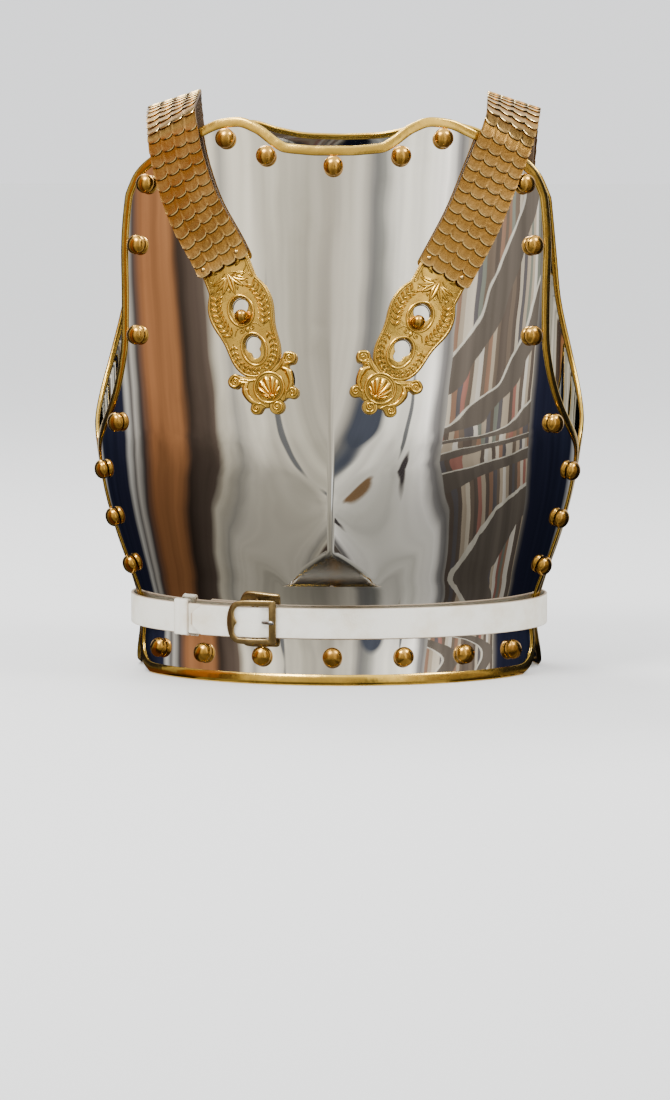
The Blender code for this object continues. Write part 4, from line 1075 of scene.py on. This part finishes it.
def make_terminals(ribbons):
    model = make_terminal_model()
    flat = coordinates(model)
    relief = (flat[:, 2] - GROUND) / MM
    # Painted shade: darkest at the foot of the relief and fading up its sides, light over the open ground, a little
    # more on the plates' undersides.
    low = np.clip(1.15 - (relief + 0.05) / 0.8, 0.0, 1.0)
    low = np.where((relief > -0.09) & (relief < 0.001), 0.2, low)
    low = np.where(relief < -0.3, 0.3, low)
    for side, ribbon in ribbons.items():
        piece = copy_of(model, side + "_gilt_terminal")
        move_points(piece, ribbon.lay(*flat.T))
        mark(piece, "low", low)
        finished(piece, GILT, side + "_terminal", angle=42.0)
        make_button(side, ribbon)
    bpy.data.objects.remove(model)


def make_button(side, ribbon):
    """A ball on a stem, in the upper keyhole's slot."""
    ball = added(bpy.ops.mesh.primitive_uv_sphere_add, segments=36, ring_count=24, radius=BUTTON_RADIUS,
                 location=(0, 0, BUTTON_STEM + BUTTON_RADIUS * 0.9))
    depth = BUTTON_STEM + 0.002
    stem = added(bpy.ops.mesh.primitive_cylinder_add, vertices=24, radius=BUTTON_NECK, depth=depth,
                 location=(0, 0, depth / 2))
    with editing(stem):
        bpy.ops.mesh.bevel(offset=0.0003, segments=2, affect="EDGES")
    piece = join([ball, stem], side + "_ball_button")
    stand(piece, *ribbon.seat(0.0, BUTTON_PLACE * TERMINAL_LENGTH, CLEARANCE))
    finished(piece, STUD_BRASS, side + "_button", angle=50.0)


def belt_route():
    """The loop round both waists, from the buckle's centre bar round the back to the tongue."""
    middle = BELT_HEIGHT * PLATE_HEIGHT
    heights = middle + BELT_WIDTH * np.array([-0.62, -0.3, 0.0, 0.3, 0.62])
    width = breast.width_at(heights).max() + BELT_STANDOFF
    fore = breast.depth_at(heights).max() + BELT_STANDOFF
    aft = back.depth_at(heights).max() + BELT_STANDOFF
    start = math.asin((BUCKLE_X + BUCKLE_LENGTH) / width)
    turns = start - 2 * np.pi * np.arange(451) / 360
    y = np.where(np.cos(turns) > 0, -fore * np.cos(turns), -aft * np.cos(turns))
    points = np.stack([width * np.sin(turns), y, np.full(len(turns), middle)], axis=-1)
    normals = np.cross((0, 0, 1), np.gradient(points, axis=0))
    return Ribbon(points, normals)


def crossings(ribbon, x):
    """Where the belt's front run passes a place across the waist: once on each lap."""
    hits = []
    for i in range(len(ribbon.points) - 1):
        (xa, ya), (xb, yb) = ribbon.points[i, :2], ribbon.points[i + 1, :2]
        if ya < 0 and yb < 0 and min(xa, xb) <= x <= max(xa, xb):
            hits.append(ribbon.spans[i] + (ribbon.spans[i + 1] - ribbon.spans[i]) * (x - xa) / (xb - xa))
    return hits[0], hits[-1]


def make_belt():
    ribbon = belt_route()
    bar, again = crossings(ribbon, BUCKLE_X)
    tongue = crossings(ribbon, TONGUE_X)[1]
    lift = BELT_LEATHER + CLEARANCE
    rise_end = again - CENTRE_BAR - BELT_LEATHER
    rise_start = rise_end - BUCKLE_BAR * 1.2

    def height(s):
        return lift * smooth_step((s - rise_start) / (rise_end - rise_start))

    stations = np.concatenate([np.arange(bar + CENTRE_BAR / 2 + CLEARANCE, rise_start, 0.004),
                               np.arange(rise_start, tongue - 0.011, 0.0012), np.linspace(tongue - 0.011, tongue, 12)])
    taper = np.interp(stations, [tongue - 0.010, tongue - 0.0085, tongue], [1.0, 0.93, 0.36])
    section = rounded_section(BELT_WIDTH / 2, 0.0, BELT_LEATHER, 0.0007)
    belt = make_band("waist_belt", ribbon, stations, section, height(stations), taper)
    finished(belt, WHITE_LEATHER, "belt", angle=45.0)
    make_keeper(ribbon, crossings(ribbon, KEEPER_X)[0])
    make_buckle(ribbon, again, lift, height)


def make_keeper(ribbon, keeper):
    """A leather loop round the belt, a little slack and creased."""
    half, wall = BELT_WIDTH / 2 + 0.0012, KEEPER_LEATHER
    low, high = -CLEARANCE, BELT_LEATHER + CLEARANCE
    inner = rounded_section(half, low, high, 0.0006, middle=10)
    outer = rounded_section(half + wall, low - wall, high + wall, 0.0016, middle=10)
    # Across the loop: the place, the thickness and how worn it is
    spans, swell, worn = np.array([
        (0.0, 0.25, 0.75), (0.03, 0.85, 0.5), (0.1, 1.05, 0.12), (0.3, 0.92, 0.0), (0.5, 0.98, 0.08), (0.7, 0.90, 0.0),
        (0.9, 1.05, 0.12), (0.97, 0.85, 0.5), (1.0, 0.25, 0.75)]).T
    spans = KEEPER_WIDTH * (spans - 0.5)
    strips = [(span, inner + (outer - inner) * share * (1 + 0.10 * np.sin(outer[:, :1] * 900 + 2.2 * i)))
              for i, (span, share) in enumerate(zip(spans, swell))]
    strips += [(span, inner) for span in reversed(spans)]
    strips.append(strips[0])
    places = np.array([ribbon.lay(row[:, 0] + KEEPER_DROP, keeper + span, row[:, 1]) for span, row in strips])
    piece = grid_piece("belt_loop", places)
    mark(piece, "edge", np.repeat(np.concatenate([worn, worn * 0, worn[:1]]), len(inner)))
    close_up(piece, caps=False)
    finished(piece, WHITE_LEATHER, "belt_keeper", angle=50.0)


def buckle_loops():
    """Outer and inner lines of the frame in millimetres: x up the belt, y along it from the right bar."""
    half, tall, bar = BUCKLE_LENGTH / 2 / MM, BUCKLE_HEIGHT / 2 / MM, BUCKLE_BAR / MM
    outer = [(-half + 2.6, -tall), (-half + 0.7, -tall + 0.7), (-half, -tall + 2.6)]
    outer += [(-half, -6), (-half, 6), (-half, tall - 2.6), (-half + 0.7, tall - 0.7), (-half + 2.6, tall)]
    bow = [(-2, tall), (half * 0.35, tall * 0.985), (half * 0.62, tall * 0.93), (half * 0.84, tall * 0.74),
           (half * 0.96, tall * 0.42), (half, 0)]
    outer = np.array(outer + bow + [(a, -t) for a, t in reversed(bow[:-1])])
    high = tall - 4.8
    left = half - bar
    right = -half + bar
    inner = [(right + 0.8, -high), (right, -high + 1.2), (right, high - 1.2), (right + 0.8, high)]
    lobes = [(left * 0.55, high), (left * 0.86, high - 1.6), (left, high * 0.62), (left * 0.98, high * 0.28),
             (left * 0.84, 0)]
    inner = np.array(inner + lobes + [(a, -t) for a, t in reversed(lobes[:-1])])
    return outer, inner


def rounded_loop(loop):
    """A line through the frame's corners, turned to run along the belt."""
    return np.array(catmull(list(np.vstack([loop, loop[:1]])), 3)[:-1])[:, ::-1] * MM


def make_buckle(ribbon, centre, lift, height):
    half, bar = BUCKLE_LENGTH / 2, BUCKLE_BAR
    base = BELT_LEATHER + CLEARANCE
    outer, inner = buckle_loops()
    plate = flat_plate("buckle", rounded_loop(outer), [rounded_loop(inner)], 0.0, BUCKLE_WALL, 0.0009)
    flat = coordinates(plate)
    share = (flat[:, 1] + half) / (2 * half)
    flat[:, 2] += base + lift * np.clip(share * 1.4 - 0.2, 0.0, 1.0)
    move_points(plate, flat)
    rod = added(bpy.ops.mesh.primitive_cylinder_add, vertices=20, radius=CENTRE_BAR * 0.45,
                depth=BUCKLE_HEIGHT - bar * 0.8, rotation=(0, math.pi / 2, 0),
                location=(0, 0, CLEARANCE + BELT_LEATHER / 2))
    piece = join([plate, rod], "buckle")
    t, s, h = coordinates(piece).T
    move_points(piece, ribbon.lay(t, centre + s, h))
    finished(piece, OLD_BRASS, "buckle_frame", angle=40.0)
    over = base + BUCKLE_WALL + PRONG_WIDTH * 0.35
    foot = float(height(centre - half + 2.0 * bar)) + base
    turn = np.radians(np.arange(0, 361, 24))
    places = []
    for along, level, size in ((0.20, over, 0.15), (0.26, over, 0.45), (0.45, over, 0.60), (0.95, over, 0.60),
                               (1.25, (over + foot) / 2, 0.58), (1.55, foot + 0.0003, 0.55),
                               (1.9, foot - 0.0006, 0.5), (2.05, foot - 0.0010, 0.4)):
        places.append(ribbon.lay(np.cos(turn) * PRONG_WIDTH * 0.75 * size, centre - half + along * bar,
                                 level + PRONG_WIDTH * 0.42 * size * np.sin(turn)))
    prong = grid_piece("buckle_tongue", np.array(places))
    close_up(prong)
    finished(prong, DULL_STEEL, "buckle_prong", angle=50.0)


for name, plate in (("breast", breast), ("back", back)):
    border = Border(plate)
    body = make_plate(name + "_shell", border)
    if name == "breast":
        paint_undercut_shade(body)
    finished(body, MIRROR_STEEL, name + "plate", angle=60.0)
    foot = make_edging(name + "_foot_binding", border, range(0, border.corner + 1), floor=True)
    finished(foot, EDGE_BRASS, name + "_flange_edging", angle=50.0)
    upper = make_edging(name + "_binding", border, range(border.corner, len(border.loop) + 1))
    finished(upper, EDGE_BRASS, name + "_edging", angle=50.0)

make_studs()
ribbons = {side: strap_route(STRAPS[side]) for side in ("left", "right")}
for side, ribbon in ribbons.items():
    make_strap(side, ribbon)
make_terminals(ribbons)
make_belt()


def lay_floor():
    floor = added(bpy.ops.mesh.primitive_plane_add, size=60.0)
    floor.name = "floor"
    paint = bpy.data.materials.new("floor_paint")
    paint.use_nodes = True
    shader = paint.node_tree.nodes["Principled BSDF"].inputs
    shader["Base Color"].default_value = (0.82, 0.82, 0.81, 1)
    shader["Roughness"].default_value = 0.8
    floor.data.materials.append(paint)


# What the polished steel sees round it, by bearing from the breastplate's front in degrees (right is more).
ROOM_TONES = [
    (-180, (0.40, 0.40, 0.40)), (-152, (0.75, 0.75, 0.74)), (-142, (0.35, 0.35, 0.35)),
    (-136, (0.010, 0.012, 0.024)), (-101, (0.014, 0.015, 0.030)), (-97, (0.50, 0.48, 0.44)),
    (-93, (0.10, 0.09, 0.085)), (-90, (0.40, 0.37, 0.33)), (-85, (0.04, 0.035, 0.035)),
    (-78, (0.23, 0.095, 0.038)), (-61, (0.27, 0.115, 0.046)), (-57, (0.035, 0.024, 0.018)),
    (-46, (0.085, 0.062, 0.048)), (-43, (0.62, 0.56, 0.44)), (-38, (0.30, 0.28, 0.24)), (-34, (0.60, 0.55, 0.45)),
    (-18, (0.38, 0.35, 0.28)), (-3, (0.27, 0.245, 0.20)), (5, (0.50, 0.46, 0.38)), (9, (0.12, 0.115, 0.11)),
    (13, (0.19, 0.185, 0.165)), (16, (0.59, 0.56, 0.49)), (27, (0.70, 0.67, 0.59)), (34, (1.05, 1.00, 0.92)),
    (37, (0.09, 0.085, 0.09)), (40, (0.30, 0.28, 0.25)), (80, (0.30, 0.27, 0.23)), (85, (0.012, 0.013, 0.026)),
    (128, (0.010, 0.012, 0.024)), (136, (0.35, 0.35, 0.35)), (152, (0.80, 0.80, 0.78)), (180, (0.40, 0.40, 0.40)),
]
# Narrow strips in leaning rows stand on one side of the screen, between two bearings.
STRIPS_FROM, STRIPS_TO = 40.0, 82.0
STRIP_TONES = [
    (0.0, (0.36, 0.29, 0.21)), (0.16, (0.05, 0.034, 0.028)), (0.30, (0.52, 0.45, 0.35)), (0.42, (0.22, 0.11, 0.065)),
    (0.56, (0.045, 0.045, 0.06)), (0.66, (0.60, 0.55, 0.47)), (0.76, (0.10, 0.07, 0.05)),
    (0.86, (0.26, 0.085, 0.065)), (0.93, (0.13, 0.15, 0.125)),
]
STRIP_HAZE, HAZE_SHARE = (0.30, 0.255, 0.205, 1), 0.22
LINE_TONE, LINE_BELOW = (0.52, 0.48, 0.40, 1), 0.05
GAP_TONE, GAP_ABOVE = (0.11, 0.092, 0.076, 1), 0.64
# Soft blots on the screen: bearing, height, half width in degrees, half height and colour.
BLOTS = [
    (14, 0.55, 5.0, 0.50, (0.045, 0.05, 0.065)), (-24, 0.3, 1.0, 0.9, (0.10, 0.10, 0.10)),
    (27, 0.15, 0.7, 0.8, (0.12, 0.12, 0.12)), (4.5, -0.25, 3.5, 0.5, (0.70, 0.70, 0.68)),
    (22, -1.55, 1.2, 0.5, (0.20, 0.12, 0.06)), (29, -1.2, 1.0, 0.6, (0.06, 0.05, 0.05)),
]
ROOM_GLOW = 2.3
# The screen from its foot up: radius, height, and its depth as a share of the radius.
SCREEN = [
    (0.02, 0.0006, 1.0), (0.215, 0.001, 0.72), (0.3, 0.002, 0.78), (0.45, 0.004, 0.86), (0.7, 0.004, 0.94),
    (1.1, 0.004, 1.0), (1.6, 0.006, 1.0), (2.05, 0.05, 1.0), (2.3, 0.22, 1.0), (2.4, 0.5, 1.0), (2.4, 1.2, 1.0),
    (2.4, 2.0, 1.0), (2.4, 3.0, 1.0),
]


def turn_share(bearing):
    return (bearing + 180) / 360


def ramp(tree, source, stops, kind):
    made = put(tree, "ShaderNodeValToRGB", source)
    made.color_ramp.interpolation = kind
    points = made.color_ramp.elements
    while len(points) < len(stops):
        points.new(0.5)
    for point, (place, colour) in zip(points, stops):
        point.position = place
        point.color = (*colour, 1)
    return made.outputs[0]


class Value:
    """A number in a node tree that can be reckoned with."""

    def __init__(self, tree, socket):
        self.tree = tree
        self.socket = socket

    def reckon(self, operation, other=0.0):
        if isinstance(other, Value):
            other = other.socket
        return Value(self.tree, put(self.tree, "ShaderNodeMath", self.socket, other, operation=operation).outputs[0])

    def __add__(self, other):
        return self.reckon("ADD", other)

    def __sub__(self, other):
        return self.reckon("SUBTRACT", other)

    def __mul__(self, other):
        return self.reckon("MULTIPLY", other)


def room_paint():
    """Soft upright bands by bearing, with rows of strips on one side; the UV map holds bearing and height."""
    made = bpy.data.materials.new("room_paint")
    made.use_nodes = True
    tree = made.node_tree
    tree.nodes.remove(tree.nodes["Principled BSDF"])
    place = put(tree, "ShaderNodeUVMap").outputs[0]
    parts = put(tree, "ShaderNodeSeparateXYZ", place)
    bearing, height = Value(tree, parts.outputs[0]), Value(tree, parts.outputs[1])

    def noise(scale, detail):
        drawn = put(tree, "ShaderNodeMapping", Vector=place, Scale=scale).outputs[0]
        return Value(tree, put(tree, "ShaderNodeTexNoise", Vector=drawn, Scale=1.0, Detail=detail).outputs["Fac"])

    wander = noise((60.0, 1.1, 1.0), 1.5)
    wavy = bearing + (wander - 0.5) * 0.007
    bands = ramp(tree, wavy.socket, [(turn_share(turn), tone) for turn, tone in ROOM_TONES], "LINEAR")
    row = height * 1.7 - bearing * 7.0 + wander * 0.10
    spot = put(tree, "ShaderNodeCombineXYZ", (wavy * 190.0).reckon("FLOOR").socket, row.reckon("FLOOR").socket)
    chance = put(tree, "ShaderNodeTexWhiteNoise", Vector=spot.outputs[0], noise_dimensions="2D")
    strips = mixed(tree, HAZE_SHARE, ramp(tree, chance.outputs["Value"], STRIP_TONES, "CONSTANT"), STRIP_HAZE)
    within = row.reckon("FRACT")
    strips = mixed(tree, within.reckon("LESS_THAN", LINE_BELOW).socket, strips, LINE_TONE)
    strips = mixed(tree, within.reckon("GREATER_THAN", GAP_ABOVE).socket, strips, GAP_TONE)
    past, short = (bearing.reckon(operation, turn_share(turn))
                   for operation, turn in (("GREATER_THAN", STRIPS_FROM), ("LESS_THAN", STRIPS_TO)))
    tone = mixed(tree, (past * short).socket, bands, strips)
    for turn, rise, wide, tall, colour in BLOTS:
        across = (bearing - turn_share(turn)) * (360 / wide)
        along = (height - rise) * (1 / tall)
        reach = across * across + along * along
        tone = mixed(tree, ranged(tree, reach.socket, 0.55, 1.25, 1.0, 0.0), tone, (*colour, 1))
    streak = ranged(tree, noise((64.0, 0.55, 1.0), 2.0).socket, 0.3, 0.7, 0.78, 1.22)
    streaked = put(tree, "ShaderNodeVectorMath", tone, operation="SCALE", Scale=streak)
    strength = Value(tree, ranged(tree, height.socket, -2.2, 2.8, 0.22, 1.30)) * ROOM_GLOW
    glow = put(tree, "ShaderNodeEmission", Color=streaked.outputs[0], Strength=strength.socket)
    feed(tree, tree.nodes["Material Output"].inputs["Surface"], glow.outputs[0])
    return made


def stand_room(columns=145):
    """A round studio screen that only reflections see; its foot runs in over the floor."""
    turns = np.radians(np.linspace(-180, 180, columns))
    places = [[(math.sin(a) * r, -math.cos(a) * r * depth, z) for a in turns] for r, z, depth in SCREEN]
    screen = grid_piece("screen", np.array(places))
    layer = screen.data.uv_layers[0]
    heights = np.array([z - (SCREEN[-1][0] - r) for r, z, _ in SCREEN])
    corners = np.zeros(len(screen.data.loops), dtype=int)
    screen.data.loops.foreach_get("vertex_index", corners)
    uv = np.column_stack([(corners % columns) / (columns - 1), heights[corners // columns]])
    layer.data.foreach_set("uv", uv.ravel())
    screen.data.materials.append(room_paint())
    for way in ("camera", "shadow", "diffuse", "transmission", "volume_scatter"):
        setattr(screen, "visible_" + way, False)


def add_light(name, place, size, power):
    """A square lamp that faces the part."""
    light = bpy.data.lights.new(name, "AREA")
    light.size = size
    light.energy = power
    holder = bpy.data.objects.new(name, light)
    bpy.context.scene.collection.objects.link(holder)
    holder.location = place
    holder.rotation_euler = (Vector((0, 0, 0.25)) - Vector(place)).to_track_quat("-Z", "Y").to_euler()


def build_stage():
    lay_floor()
    stand_room()
    world = bpy.data.worlds.new("soft_room")
    world.use_nodes = True
    tree = world.node_tree
    seen = put(tree, "ShaderNodeLightPath").outputs["Is Camera Ray"]
    background = tree.nodes["Background"].inputs
    feed(tree, background["Strength"], ranged(tree, seen, 0.0, 1.0, 1.75, 1.52))
    background["Color"].default_value = (0.97, 0.98, 1.0, 1)
    bpy.context.scene.world = world
    add_light("key", (-0.75, -1.05, 2.1), 0.7, 42)
    add_light("fill", (1.15, -0.55, 2.0), 0.6, 20)
    add_light("back", (-0.6, 1.2, 2.1), 0.8, 34)


def place_camera():
    """The photograph's viewing angle: a little to the right and above the belt, from far off."""
    azimuth, elevation, distance = math.radians(2.5), math.radians(6.0), 3.2
    field = 0.88
    aim = Vector((0.003, -0.13, 0.112))
    away = Vector((math.sin(azimuth) * math.cos(elevation), -math.cos(azimuth) * math.cos(elevation),
                   math.sin(elevation)))
    lens = bpy.data.cameras.new("camera")
    lens.sensor_fit = "VERTICAL"
    lens.sensor_height = 24.0
    lens.lens = 24.0 * distance / field
    camera = bpy.data.objects.new("camera", lens)
    bpy.context.scene.collection.objects.link(camera)
    camera.location = aim + away * distance
    camera.rotation_euler = (-away).to_track_quat("-Z", "Y").to_euler()
    bpy.context.scene.camera = camera


build_stage()
place_camera()
